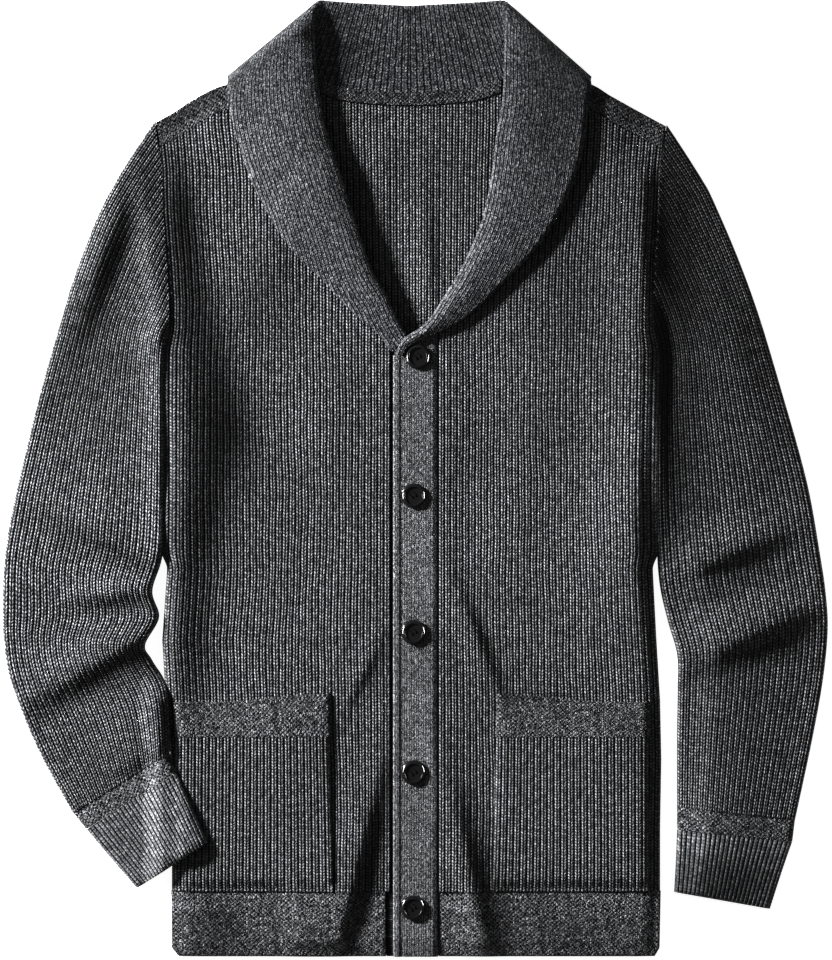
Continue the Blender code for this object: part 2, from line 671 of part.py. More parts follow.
OVER_BAND_LOW = FRONT_LOW + BAND_WALL + SEAM_GAP
OVER_BAND_TOP = OVER_BAND_LOW + BAND_WALL


def over_band():
    """Buttonhole band: lies on the under band and steps down to the left front."""
    x = np.array([row.x for row in OVER_BAND_TOP_LINE])
    top = np.array([row.y for row in OVER_BAND_TOP_LINE])
    at = (x - x[0]) / (x[-1] - x[0])
    step = OVER_BAND_LOW - FRONT_LOW
    low = FRONT_LOW + step * (1 - smoothstep(8, 17, x))
    soft = np.where(at == 0, 0.7, 0)
    upper, lower = [], []
    for share in (0, 0.33, 0.67, 1):
        y = HEM_LOW + (top - HEM_LOW) * share
        upper.append(np.stack([x, y, low + BAND_WALL - soft], -1))
        lower.append(np.stack([x, y, low], -1))
    return make_panel("over_band", upper, at, lower, at)


PocketRow = namedtuple("PocketRow", "y right_outer right_inner left_inner left_outer")
POCKETS = (
    PocketRow(-339, -200.5, -68, 63, 193),
    PocketRow(-290, -200, -69, 64.5, 193),
    PocketRow(-250, -200, -70, 65.5, 193),
    PocketRow(-213, -199.5, -71, 66, 193),
)
WELTS = (
    PocketRow(-212.6, -200, -70.5, 65.5, 193.5),
    PocketRow(-195, -200.5, -70.8, 66, 193.8),
    PocketRow(-184, -201, -71, 66.5, 194),
)
WELT_PEAK = 7.0  # the welt's inner top corner stands this much above its outer one


def pocket(name, rows, side, peak, rib_pitch, thickness):
    """A patch on a front, made from the front's surface moved out."""
    first = rows[0]
    ends = (first.right_outer, first.right_inner) if side < 0 else (first.left_inner, first.left_outer)
    if rib_pitch:
        at, rise = rib_columns(ends[1] - ends[0], rib_pitch)
    else:
        at = np.linspace(0, 1, 7)
        rise = np.zeros(7)
    low_at = coarse(at, 6 if rib_pitch else 1)
    base = FRONT_TOP + SEAM_GAP
    upper, lower = [], []
    for row in rows:
        start, end = (
            (row.right_outer, row.right_inner) if side < 0 else (row.left_inner, row.left_outer)
        )
        for store, places, height in ((upper, at, thickness + rise), (lower, low_at, 0)):
            x = start + (end - start) * places
            inner_share = places if side < 0 else 1 - places
            tilt = peak * smoothstep(0.25, 1, inner_share) if row is rows[-1] else 0
            y = np.full_like(x, row.y) + tilt
            soft = 0.8 * ((places == 0) | (places == 1)) * (store is upper)
            store.append(np.stack([x, y, base + height - soft], -1))
    return make_panel(name, upper, at, lower, low_at)


def button(number, x, y):
    """Four-hole button: a turned disc with a raised rim and a sunk middle."""
    bm = bmesh.new()
    rim = BUTTON_RADIUS
    profile = ((0, 0), (rim - 1.6, 0), (rim, 1.4), (rim - 1.2, 3.2), (rim - 3, 2.1), (0, 1.8))
    verts = [bm.verts.new((r * MM, 0, z * MM)) for r, z in profile]
    edges = [bm.edges.new(pair) for pair in zip(verts, verts[1:])]
    bmesh.ops.spin(
        bm,
        geom=verts + edges,
        cent=(0, 0, 0),
        axis=(0, 0, 1),
        dvec=(0, 0, 0),
        angle=2 * np.pi,
        steps=BUTTON_SEGMENTS,
        use_merge=True,
    )
    bmesh.ops.remove_doubles(bm, verts=bm.verts, dist=1e-6)
    obj = new_object(f"button_{number}", bm, GLOSS_BLACK, 0.18, smooth=True)
    obj.location = (x * MM, y * MM, (OVER_BAND_TOP + SEAM_GAP) * MM)
    cutter_bm = bmesh.new()
    for dx in (-THREAD_HOLE_OFFSET, THREAD_HOLE_OFFSET):
        for dy in (-THREAD_HOLE_OFFSET, THREAD_HOLE_OFFSET):
            made = bmesh.ops.create_cone(
                cutter_bm,
                cap_ends=True,
                segments=6,
                radius1=THREAD_HOLE_RADIUS * MM,
                radius2=THREAD_HOLE_RADIUS * MM,
                depth=8 * MM,
            )
            bmesh.ops.translate(cutter_bm, verts=made["verts"], vec=(dx * MM, dy * MM, 0))
    cutter = new_object(f"button_{number}_holes", cutter_bm, GLOSS_BLACK, 0.2)
    cutter.location = obj.location
    cutter.hide_render = True
    cutter.display_type = "WIRE"
    holes = obj.modifiers.new("Thread holes", "BOOLEAN")
    holes.object = cutter
    holes.operation = "DIFFERENCE"
    return obj


def centre_on_origin():
    """Moves every piece so that the garment's box stands on the origin, centred."""
    bpy.context.view_layer.update()
    shown = [obj for obj in bpy.context.scene.objects if not obj.hide_render]
    corners = np.array(
        [tuple(obj.matrix_world @ vertex.co) for obj in shown for vertex in obj.data.vertices]
    )
    low, high = corners.min(0), corners.max(0)
    shift = (low + high) / 2
    shift[2] = low[2]
    for obj in bpy.context.scene.objects:
        obj.location = [place - move for place, move in zip(obj.location, shift)]


def main():
    for obj in list(bpy.data.objects):
        bpy.data.objects.remove(obj, do_unlink=True)
    back_panel()
    front_panel("right_front", -1)
    front_panel("left_front", 1)
    hem_bands()
    shoulder_strip("right_shoulder_strip", -1)
    shoulder_strip("left_shoulder_strip", 1)
    neck_strip()
    sleeves()
    collar()
    under_band()
    over_band()
    for side, label in ((-1, "right"), (1, "left")):
        pocket(f"{label}_pocket", POCKETS, side, 0, POCKET_RIB, WALL)
        pocket(f"{label}_pocket_welt", WELTS, side, WELT_PEAK, 0, STRIP_WALL)
    for number, (x, y) in enumerate(zip(BUTTON_X, BUTTON_Y), 1):
        button(number, x, y)
    centre_on_origin()


main()
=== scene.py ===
"""Dresses the ribbed shawl-collar cardigan: knitted shells, buttons, finishes and studio.

Tables and sizes are in millimetres, in the garment's own layout: X from the wearer's right to
the wearer's left, Y from the hem to the collar, Z up from the surface it lies on. Every knitted
piece carries a UV map that counts ribs across and stitches along, which its finish reads, and
a point attribute of painted shade, which its finish uses to darken the wool in troughs and on
flanks turned away from the light.
"""

from __future__ import annotations

import logging
from dataclasses import dataclass
from enum import Enum
from typing import Callable, NamedTuple, Sequence

import bmesh
import bpy
import numpy as np
from mathutils import Matrix, Vector
from numpy.typing import NDArray

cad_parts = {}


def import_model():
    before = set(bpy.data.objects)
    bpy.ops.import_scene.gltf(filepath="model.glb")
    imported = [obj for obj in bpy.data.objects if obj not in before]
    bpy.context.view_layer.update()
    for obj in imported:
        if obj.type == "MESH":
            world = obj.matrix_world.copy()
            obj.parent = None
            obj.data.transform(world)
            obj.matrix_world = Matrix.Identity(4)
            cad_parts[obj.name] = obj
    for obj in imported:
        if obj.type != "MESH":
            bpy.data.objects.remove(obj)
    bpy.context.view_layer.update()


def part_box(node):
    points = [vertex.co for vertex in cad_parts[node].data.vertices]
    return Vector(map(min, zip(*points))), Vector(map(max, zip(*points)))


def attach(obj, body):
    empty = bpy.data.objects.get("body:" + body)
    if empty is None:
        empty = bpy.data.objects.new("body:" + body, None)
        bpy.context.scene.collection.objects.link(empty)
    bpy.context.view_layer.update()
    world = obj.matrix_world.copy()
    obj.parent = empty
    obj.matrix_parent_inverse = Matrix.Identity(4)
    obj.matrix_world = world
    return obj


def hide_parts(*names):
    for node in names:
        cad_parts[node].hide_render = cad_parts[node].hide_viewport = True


LOG = logging.getLogger("cardigan")
Array = NDArray[np.float64]
Surface = Callable[[Array, Array], Array]

MM = 0.001
KNIT_UV = "Knit"
FACE_LAYER = "outer_side"
# Painted shade: the point attribute, filled from listed troughs and flanks, that darkens the wool's colour,
# and its strength.
PAINTED_SHADE_ATTRIBUTE = "painted_crease_shade"
PAINTED_SHADE_STRENGTH = 1.35


class Side(Enum):
    """The wearer's side that a piece is on, as the sign of its X."""

    RIGHT = -1
    LEFT = 1

    @property
    def word(self) -> str:
        """The side's word in a piece's name."""
        return self.name.lower()


class Stitch(Enum):
    """The kinds of knitting."""

    HALF_CARDIGAN = "half_cardigan"
    MOSS = "moss"
    FINE_RIB = "fine_rib"


@dataclass(frozen=True)
class Cut:
    """Driving sizes of the garment, the same as those of its solids."""

    wall: float = 2.6
    rib_rise: float = 1.2
    fine_wall: float = 3.0
    band_wall: float = 2.8
    moss_wall: float = 3.2
    strip_wall: float = 3.6
    seam_gap: float = 0.3
    tube_slit: float = 1.5
    tube_side_wall: float = 3.4
    edge_round: float = 5.0
    soft_edge: float = 14.0
    panel_edge_drop: tuple[float, float] = (2.6, 1.0)
    collar_lift: float = 3.45
    lift_y: tuple[float, float] = (248.0, 286.0)
    lift_x: tuple[float, float] = (160.0, 192.0)
    drape_run: float = 25.0
    drape_y: tuple[float, float] = (-158.0, -186.0)
    hem_low: float = -395.0
    hem_high: float = -341.0
    band_left_x: float = -17.0
    band_right_x: float = 18.4
    panel_edge_x: tuple[float, float] = (-24.8, 18.8)
    front_edge_x: tuple[float, float] = (-21.0, 18.8)
    strip_depth: float = 21.0
    neck_end_x: tuple[float, float] = (-97.8, 86.8)
    neck_centre_x: float = -5.3
    neck_strip_half: float = 77.0
    neck_strip_bend: float = 60.0
    neck_strip_depth: float = 10.5
    neck_strip_heights: tuple[float, float] = (6.2, 8.2)
    back_rib_half: float = 78.5
    neck_point: float = 92.4
    back_half: float = 212.0
    neck_seam_gap: float = 0.8
    armhole_overlap: float = 1.8
    armhole_low: float = 100.0
    armhole_fade_y: tuple[float, float] = (258.0, 284.0)
    inner_round: float = 4.0
    sewn_y: tuple[float, float] = (-90.0, -50.0)
    sewn_crispness: float = 0.55
    draped_y: tuple[float, float] = (-150.0, -190.0)
    draped_softness: float = 1.8
    open_side_y: tuple[float, float] = (-72.0, -48.0)
    front_rows_high: float = 307.5
    strip_tip: float = 0.8
    strip_tip_y: tuple[float, float] = (288.0, 300.0)
    roll_radius: float = 2.1
    welt_peak: float = 7.0
    button_radius: float = 10.3
    body_puff: float = 3.2

    @property
    def front_low(self) -> float:
        """Height of the fronts' underside."""
        return self.wall + self.rib_rise + self.seam_gap

    @property
    def front_top(self) -> float:
        """Height of the fronts' rib tops."""
        return self.front_low + self.wall + self.rib_rise

    @property
    def drape_height(self) -> float:
        """Height of the right cuff's underside where it lies over the pocket."""
        return self.front_top + 4.4

    @property
    def over_band_low(self) -> float:
        """Height of the upper button band's underside."""
        return self.front_low + self.band_wall + self.seam_gap


CUT = Cut()
REFERENCE_BUTTON = "button_3"
REFERENCE_BUTTON_PLACE = (-2.0, -126.0)
BUTTON_PLACES = ((1.5, 102.0), (-2.0, -13.0), REFERENCE_BUTTON_PLACE, (-2.0, -242.0), (-2.5, -354.0))


class SideRow(NamedTuple):
    """X of the two side seams at a height."""

    y: float
    right: float
    left: float


SIDES = (
    SideRow(-395, -197, 198),
    SideRow(-388, -202.5, 202),
    SideRow(-340, -203, 203),
    SideRow(-290, -203, 203),
    SideRow(-232, -204, 204),
    SideRow(-183, -208, 203),
    SideRow(-133, -211, 200),
    SideRow(-76, -207, 197),
    SideRow(-17, -206.5, 196),
    SideRow(66, -206.5, 197),
    SideRow(148, -206, 198),
    SideRow(181, -208, 199),
    SideRow(222, -211, 202),
    SideRow(257, -212, 204),
    SideRow(296, -216, 208),
)
SHOULDER = (
    SideRow(292, -220, 210),
    SideRow(299, -209, 197),
    SideRow(305, -198, 186),
    SideRow(312, -188, 173),
    SideRow(319, -176, 160),
    SideRow(325, -164, 151),
    SideRow(327.5, -157, 146),
    SideRow(338, -96, 85),
)


class SectionRow(NamedTuple):
    """A section across a sleeve, from its outer folded edge to its inner one."""

    outer_x: float
    outer_y: float
    inner_x: float
    inner_y: float


RIGHT_SLEEVE = (
    SectionRow(-285.2, -276.4, -203.6, -225),
    SectionRow(-314, -224, -205.5, -176),
    SectionRow(-337, -166, -219, -150),
    SectionRow(-342.5, -133, -225, -137),
    SectionRow(-343.5, -108, -213.5, -114),
    SectionRow(-342, -66, -219, -92),
    SectionRow(-337, -33, -210.5, -62),
    SectionRow(-330, 0, -209, -17),
    SectionRow(-314, 66, -209, 46),
    SectionRow(-295, 133, -208, 108),
    SectionRow(-285, 166, -198, 134),
    SectionRow(-266, 216, -178, 174),
    SectionRow(-249, 249, -161, 199),
    SectionRow(-228, 282, -142, 228),
    SectionRow(-208, 310, -125, 252),
)
LEFT_SLEEVE = (
    SectionRow(315, -281.6, 217, -270.6),
    SectionRow(329, -216, 217, -212),
    SectionRow(338, -166, 217.5, -174),
    SectionRow(342, -124, 217, -145),
    SectionRow(340, -91, 209, -116),
    SectionRow(335, -58, 202, -83),
    SectionRow(328, -17, 199, -33),
    SectionRow(320, 17, 198.5, 4),
    SectionRow(306, 66, 199, 50),
    SectionRow(286, 133, 200, 108),
    SectionRow(268, 183, 186, 151),
    SectionRow(247, 232, 163, 191),
    SectionRow(238, 249, 153, 209),
    SectionRow(217, 282, 132, 235),
    SectionRow(198, 310, 115, 258),
)
RIGHT_STRIP = (SectionRow(-274, -290, -198.2, -241.6), SectionRow(-285.6, -275.4, -204.6, -224))
LEFT_STRIP = (SectionRow(312.6, -300, 217, -290), SectionRow(315, -280.5, 217, -269.5))
RIGHT_CUFF = (
    SectionRow(-232, -339, -172, -299),
    SectionRow(-252, -316, -184.5, -270.5),
    SectionRow(-273.7, -290.3, -198, -241.9),
)
LEFT_CUFF = (
    SectionRow(294, -356, 214.5, -342),
    SectionRow(304, -325, 216, -316),
    SectionRow(312.5, -300.4, 217, -290.4),
)


class CreaseRow(NamedTuple):
    """A soft ridge: its middle, direction in degrees, half length, half widths and height."""

    x: float
    y: float
    turn: float
    half_length: float
    width_above: float
    width_below: float
    rise: float


RIGHT_SLEEVE_CREASES = (
    CreaseRow(-258, -40, -28, 56, 20, 12, 8.4),
    CreaseRow(-250, -93, 6, 36, 12, 9, 5.8),
    CreaseRow(-266, -149, 30, 68, 22, 13, 8.6),
    CreaseRow(-213, 25, 90, 90, 12, 7, 4.6),
    CreaseRow(-262, 187, 71, 72, 15, 14, 7.4),
    CreaseRow(-226, -205, 106, 56, 34, 16, 3.6),
    CreaseRow(-216, 118, 60, 24, 9, 8, 2.8),
)
LEFT_SLEEVE_CREASES = (
    CreaseRow(251, -61, 20, 56, 18, 13, 7.2),
    CreaseRow(273, -126, 22, 62, 24, 15, 8.2),
    CreaseRow(268, 100, -70, 90, 20, 34, 2.6),
)
BODY_CREASES = (
    CreaseRow(-219, 190, 97, 66, 9, 22, 7.4),
    CreaseRow(-205, 72, 101, 60, 13, 33, 8.4),
    CreaseRow(-198, -28, 83, 54, 13, 28, 6.8),
    CreaseRow(-199, -125, 90, 70, 10, 22, 6.4),
    CreaseRow(191, 120, 94, 150, 34, 14, 11.0),
    CreaseRow(176, -40, 90, 60, 30, 18, 6.4),
    CreaseRow(-54, -330, 77, 88, 26, 10, 7.8),
    CreaseRow(47, -346, 103, 88, 15, 11, 7.0),
    CreaseRow(-96, -372, 90, 60, 14, 20, 3.6),
    CreaseRow(50, -134, 112, 50, 13, 7, 3.8),
    CreaseRow(-46, -160, 62, 40, 10, 7, 2.6),
    CreaseRow(-118, 190, 62, 80, 24, 26, 2.6),
    CreaseRow(96, 60, 80, 120, 30, 30, 1.8),
    CreaseRow(-78, 30, 100, 120, 30, 30, 2.4),
)
# Painted shade on the body: troughs, flanks turned from the light and shadowed strips, whose rise is how
# dark the colour gets.
BODY_PAINTED_SHADE = (
    CreaseRow(-180, 137, 106, 92, 34, 18, 0.85),
    CreaseRow(-194, 226, 99, 46, 14, 14, 0.75),
    CreaseRow(-155, 45, 110, 44, 44, 18, 0.5),
    CreaseRow(-172, -25, 80, 66, 34, 16, 0.7),
    CreaseRow(-192, -128, 90, 70, 20, 18, 0.36),
    CreaseRow(-163, -369, 90, 30, 16, 14, 0.35),
    CreaseRow(-36, -315, 77, 74, 8, 7, 0.5),
    CreaseRow(64, -332, 104, 66, 8, 10, 0.45),
    CreaseRow(60, -141, 110, 38, 7, 6, 0.35),
    CreaseRow(95, -180, 2, 28, 4, 3, 0.3),
    CreaseRow(-192, 308, 32, 44, 22, 12, 0.75),
    CreaseRow(178, 306, -32, 44, 22, 12, 0.35),
    CreaseRow(-5, 318, 0, 90, 8, 9, 0.4),
    CreaseRow(-120, 215, 90, 110, 70, 50, 0.08),
    CreaseRow(-122, 70, 92, 130, 34, 30, 0.17),
    CreaseRow(120, 225, 90, 110, 60, 70, 0.26),
    CreaseRow(-125, -370, 0, 80, 22, 30, 0.22),
    CreaseRow(130, -370, 0, 80, 22, 30, 0.22),
)
# Painted shade on the right sleeve: fold troughs and broad darkening.
RIGHT_SLEEVE_PAINTED_SHADE = (
    CreaseRow(-251, 184, 68, 70, 9, 10, 0.4),
    CreaseRow(-256, -57, -25, 62, 8, 9, 0.4),
    CreaseRow(-248, -104, 3, 32, 5, 6, 0.35),
    CreaseRow(-262, -168, 27, 54, 8, 9, 0.35),
    CreaseRow(-187, -238, 108, 74, 8, 9, 0.4),
    CreaseRow(-225, 230, 60, 90, 60, 60, 0.25),
    CreaseRow(-270, 70, 74, 90, 50, 50, 0.2),
    CreaseRow(-238, -305, 60, 40, 40, 40, 0.14),
)
# Painted shade on the left sleeve: the shadow beside the armhole, fold troughs and the cuff.
LEFT_SLEEVE_PAINTED_SHADE = (
    CreaseRow(209, 130, 90, 170, 14, 27, 0.75),
    CreaseRow(214, -5, 90, 62, 16, 22, 0.5),
    CreaseRow(260, -88, 18, 58, 7, 9, 0.35),
    CreaseRow(273, -147, 17, 64, 8, 11, 0.35),
    CreaseRow(300, 60, -72, 150, 20, 26, 0.2),
    CreaseRow(230, 200, 90, 110, 90, 90, 0.24),
    CreaseRow(270, -190, 90, 90, 80, 80, 0.16),
    CreaseRow(262, -335, 90, 34, 70, 70, 0.8),
)
# Painted shade on the collar, including the shadow of the roll on the stand.
COLLAR_PAINTED_SHADE = (
    CreaseRow(-60, 360, 88, 44, 16, 22, 0.45),
    CreaseRow(0, 356, 0, 60, 14, 60, 0.24),
    CreaseRow(112, 290, 80, 60, 18, 30, 0.25),
)
BACK_CREASES = (CreaseRow(8, 190, 93, 62, 10, 9, 3.0), CreaseRow(-30, 230, 84, 50, 10, 10, 1.8))


class CollarRow(NamedTuple):
    """A section of the collar: where it is sewn on, its rolled edge and its free edge."""

    seam_x: float
    seam_y: float
    roll_x: float
    roll_y: float
    outer_x: float
    outer_y: float
    seam_z: float
    roll_z: float
    outer_z: float
    turn: float


COLLAR = (
    CollarRow(-14.9, 112.4, -7.7, 120.2, -20, 105.6, 6.0, 8.1, 10.2, 0),
    CollarRow(-26, 130, -16, 135, -35, 124.5, 6.0, 8.1, 10.2, 0),
    CollarRow(-40, 149, -25, 154, -51, 137, 6.0, 8.1, 10.2, 0),
    CollarRow(-56, 172, -37, 176, -76, 164, 6.0, 8.1, 10.2, 0),
    CollarRow(-72, 213, -52, 221, -105, 193, 6.0, 8.1, 10.2, 0),
    CollarRow(-85, 252, -66, 265, -131, 236, 6.3, 9.3, 10.4, 0),
    CollarRow(-91, 283, -74, 290, -146, 275, 9.0, 11.4, 13.1, 0),
    CollarRow(-94, 310, -80, 322, -153, 303, 9.3, 11.4, 13.6, 0),
    CollarRow(-95.3, 335, -84, 361, -156, 324, 9.3, 11.4, 13.6, 0),
    CollarRow(-95.8, 342, -84, 386, -155, 330, 9.2, 10.8, 12.6, 40),
    CollarRow(-96.3, 344, -79, 396.5, -155.5, 334, 7.4, 7.6, 7.5, 90),
    CollarRow(-94, 339.5, -72, 397.5, -154.5, 331.5, 5.6, 4.6, 2.15, 140),
    CollarRow(-88, 330, -62, 397, -147, 313, 4.9, 3.66, 1.6, 180),
    CollarRow(-68, 316.5, -46, 396, -105, 296, 4.8, 3.66, 1.6, 180),
    CollarRow(-38, 312, -26, 395, -58, 291.5, 4.8, 3.66, 1.6, 180),
    CollarRow(-5.3, 310.5, -5.3, 394, -5.3, 290.5, 4.8, 3.66, 1.6, 180),
    CollarRow(27, 312, 15, 395, 47, 291.5, 4.8, 3.66, 1.6, 180),
    CollarRow(57, 316.5, 36, 396, 94, 296, 4.8, 3.66, 1.6, 180),
    CollarRow(77, 330, 54, 397, 136, 313, 4.9, 3.66, 1.6, 180),
    CollarRow(83, 339.5, 64, 397.5, 143.5, 331, 5.6, 4.6, 2.15, 140),
    CollarRow(85.3, 344, 72, 396.5, 144.5, 333.5, 7.4, 7.6, 7.5, 90),
    CollarRow(84.8, 342, 74, 386, 144, 329.5, 9.2, 10.8, 12.6, 40),
    CollarRow(84.5, 335, 73.5, 360, 145, 323, 9.3, 11.4, 13.6, 0),
    CollarRow(84, 308, 71.5, 316, 142, 302, 9.3, 11.4, 13.6, 0),
    CollarRow(82, 280, 66, 284, 138.5, 273, 8.9, 11.4, 13.0, 0),
    CollarRow(77, 248, 62.5, 254, 126, 235, 6.2, 8.8, 10.4, 0),
    CollarRow(67, 212, 54, 214, 104, 197, 6.0, 8.1, 10.2, 0),
    CollarRow(52, 170, 37.5, 176, 72, 163, 6.0, 8.1, 10.2, 0),
    CollarRow(35, 143, 24, 153.5, 46, 138.5, 6.0, 8.1, 10.2, 0),
    CollarRow(18, 128, 11.6, 134.5, 24, 125, 7.6, 9.6, 11.6, 0),
    CollarRow(6, 121.5, 3, 126, 8.5, 118.5, 9.0, 10.9, 12.2, 0),
    CollarRow(-8, 113.5, -11, 116.5, -5.5, 111.5, 9.0, 10.9, 12.2, 0),
    CollarRow(-13.4, 103.6, -17.2, 104.6, -10.8, 103, 9.0, 10.9, 12.2, 0),
)
BACK_ROWS = (10.0, 20.0)
RIGHT_ROWS = (0.0, 10.0)
LEFT_ROWS = (20.0, 29.0)


class EdgeRow(NamedTuple):
    """A point of a band's top edge."""

    x: float
    y: float


UNDER_BAND_TOP = (
    EdgeRow(-24.4, 126.2),
    EdgeRow(-20, 119.2),
    EdgeRow(-15.6, 111.8),
    EdgeRow(-8, 116.8),
    EdgeRow(0, 119),
    EdgeRow(7, 121),
)
OVER_BAND_TOP = (
    EdgeRow(CUT.band_left_x, 103.4),
    EdgeRow(-16, 103.2),
    EdgeRow(-12.6, 102.2),
    EdgeRow(-7.2, 112),
    EdgeRow(0, 117),
    EdgeRow(6, 120.5),
    EdgeRow(9, 122.3),
    EdgeRow(12.5, 124.2),
    EdgeRow(15.5, 125.8),
    EdgeRow(CUT.band_right_x, 127.2),
)


class PocketRow(NamedTuple):
    """Outer and inner edges of the two pockets at a height."""

    y: float
    right_outer: float
    right_inner: float
    left_inner: float
    left_outer: float


POCKETS = (
    PocketRow(-340.6, -200.5, -68, 63, 193),
    PocketRow(-290, -200, -69, 64.5, 193),
    PocketRow(-250, -200, -70, 65.5, 193),
    PocketRow(-213, -199.5, -71, 66, 193),
)
WELTS = (
    PocketRow(-212.6, -200, -70.5, 65.5, 193.5),
    PocketRow(-195, -200.5, -70.8, 66, 193.8),
    PocketRow(-184, -201, -71, 66.5, 194),
)


def smoothstep(start: float, end: float, value: Array | float) -> Array:
    """Rises smoothly from 0 at start to 1 at end."""
    t = np.clip((np.asarray(value, float) - start) / (end - start), 0, 1)
    return t * t * (3 - 2 * t)


def spline(rows: Sequence[Sequence[float]], at: Array) -> Array:
    """Reads a Catmull-Rom curve through a table.

    Args:
        rows: The table's rows.
        at: Fractional row numbers.

    Returns:
        The values at those row numbers, one row each.
    """
    table = np.asarray(rows, float)
    at = np.clip(np.asarray(at, float), 0, len(table) - 1)
    low = np.minimum(at.astype(int), len(table) - 2)
    f = (at - low)[..., None]
    before = table[np.maximum(low - 1, 0)]
    first, second = table[low], table[low + 1]
    after = table[np.minimum(low + 2, len(table) - 1)]
    bend = 2 * before - 5 * first + 4 * second - after + f * (3 * (first - second) + after - before)
    return first + 0.5 * f * (second - before + f * bend)


def edge_drop(distance: Array, radius: float = CUT.edge_round) -> Array:
    """0 inside a panel, rising to 1 at its rounded edge."""
    near = np.clip(1 - np.asarray(distance) / radius, 0, 1)
    return 1 - np.sqrt(1 - near * near)


def lift(x: Array, y: Array) -> Array:
    """Height by which the body lies over the collar's fall at the back of the neck."""
    across = 1 - smoothstep(*CUT.lift_x, np.abs(np.asarray(x) - CUT.neck_centre_x))
    return CUT.collar_lift * smoothstep(*CUT.lift_y, y) * across


def side_x(y: Array | float, side: Side) -> Array:
    """X of the side seam and armhole at a height y."""
    column = [row.right if side is Side.RIGHT else row.left for row in SIDES]
    return np.interp(y, [row.y for row in SIDES], column)


def shoulder_y(x: Array) -> Array:
    """Y of the shoulder line, or the neck point's between the two shoulders."""
    rows = sorted((row.right, row.y) for row in SHOULDER)
    rows += sorted((row.left, row.y) for row in SHOULDER)
    return np.interp(x, [row[0] for row in rows], [row[1] for row in rows])


def seam_curve(first: float, last: float) -> Array:
    """Points of the collar's seam between two rows of its table."""
    return spline(COLLAR, np.arange(first, last + 0.01, 0.25))[:, :2]


def front_top_y(x: Array, side: Side) -> Array:
    """Top of a front at x: under the shoulder strip, or along the collar's seam."""
    curve = seam_curve(*(RIGHT_ROWS if side is Side.RIGHT else LEFT_ROWS))
    curve = curve[np.argsort(curve[:, 0])]
    sign = side.value
    neck = np.interp(np.asarray(x) - CUT.neck_seam_gap * sign, curve[:, 0], curve[:, 1])
    strip = shoulder_y(x) - CUT.strip_depth
    inside = sign * np.asarray(x) < sign * CUT.neck_end_x[0 if side is Side.RIGHT else 1]
    return np.where(inside, np.minimum(neck, strip), strip)


def back_top_y(x: Array) -> Array:
    """Top of the back: the shoulder line, or the back neck between the neck points."""
    curve = seam_curve(*BACK_ROWS)
    off_centre = np.abs(np.asarray(x) - CUT.neck_centre_x)
    corner = 3.0 * smoothstep(CUT.neck_point - 18, CUT.neck_point - 4, off_centre)
    neck = np.interp(x, curve[:, 0], curve[:, 1]) - 2 * CUT.seam_gap - corner
    return np.where(off_centre < CUT.neck_point, neck, shoulder_y(x))


def crease_height(x: Array, y: Array, creases: Sequence[CreaseRow]) -> Array:
    """Sum of the soft creases at a point, each steeper on one flank than on the other."""
    total = np.zeros(np.broadcast(x, y).shape)
    for row in creases:
        turn = np.radians(row.turn)
        along = (x - row.x) * np.cos(turn) + (y - row.y) * np.sin(turn)
        across = (y - row.y) * np.cos(turn) - (x - row.x) * np.sin(turn)
        width = np.where(across > 0, row.width_above, row.width_below)
        total += row.rise * np.exp(-((along / row.half_length) ** 2) - (across / width) ** 2)
    return total


def body_swell(x: Array, y: Array) -> Array:
    """Height of the air and the soft creases under the fronts, gone at the open side seams."""
    near_side = np.minimum(x - side_x(y, Side.RIGHT), side_x(y, Side.LEFT) - x)
    total = CUT.body_puff * smoothstep(0, 16, near_side) + crease_height(x, y, BODY_CREASES)
    beside_sleeve = smoothstep(*CUT.open_side_y, y)
    closed = smoothstep(-1, 9, near_side)
    total = total * (closed + (1 - closed) * beside_sleeve) * (1 - smoothstep(234, 282, y))
    return total * (0.4 + 0.6 * smoothstep(CUT.hem_low, CUT.hem_low + 16, y))


def drape(x: Array, y: Array) -> Array:
    """Height of the right sleeve's end where it lies over the side of the body and pocket."""
    edge = side_x(y, Side.RIGHT)
    over = smoothstep(edge - CUT.drape_run, edge - 5, x)
    return CUT.drape_height * over * smoothstep(*CUT.drape_y, y) + body_swell(x, y)


def flat_base(x: Array, y: Array) -> Array:
    """Height of the surface that the garment lies on."""
    return np.zeros(np.broadcast(x, y).shape)


@dataclass(frozen=True)
class Gauge:
    """Size of a knit's repeat and how far it stands out, in millimetres."""

    rib: float
    stitch: float
    depth: float
    bead: float
    places: tuple[float, ...]

    def columns(self, ribs: int) -> Array:
        """Rib coordinates across a piece, with the same few places in every rib."""
        inside = [rib + place for rib in range(ribs) for place in self.places]
        return np.array(inside + [float(ribs)])

    def rows(self, low: float, high: float) -> Array:
        """Heights of the knit's half stitches between two heights."""
        count = max(2, int(round(2 * (high - low) / self.stitch)))
        return np.linspace(low, high, count + 1)


BODY_GAUGE = Gauge(5.2, 2.6, 1.5, 0.3, (0.0, 0.08, 0.27, 0.73, 0.92))
SLEEVE_GAUGE = Gauge(4.6, 2.85, 1.6, 0.26, (0.0, 0.08, 0.27, 0.73, 0.92))
POCKET_GAUGE = Gauge(5.6, 2.35, 1.7, 0.3, (0.0, 0.08, 0.27, 0.73, 0.92))
CUFF_GAUGE = Gauge(3.6, 2.7, 1.2, 0.1, (0.0, 0.14, 0.5, 0.86))
MOSS_GAUGE = Gauge(2.5, 2.1, 0.0, 0.14, (0.0, 0.5))
BAND_GAUGE = Gauge(3.1, 2.8, 0.3, 0.08, (0.0, 0.33, 0.67))
COLLAR_GAUGE = Gauge(3.2, 2.4, 0.75, 0.1, (0.0, 0.5))
BACK_STAND_RIB = 3.8


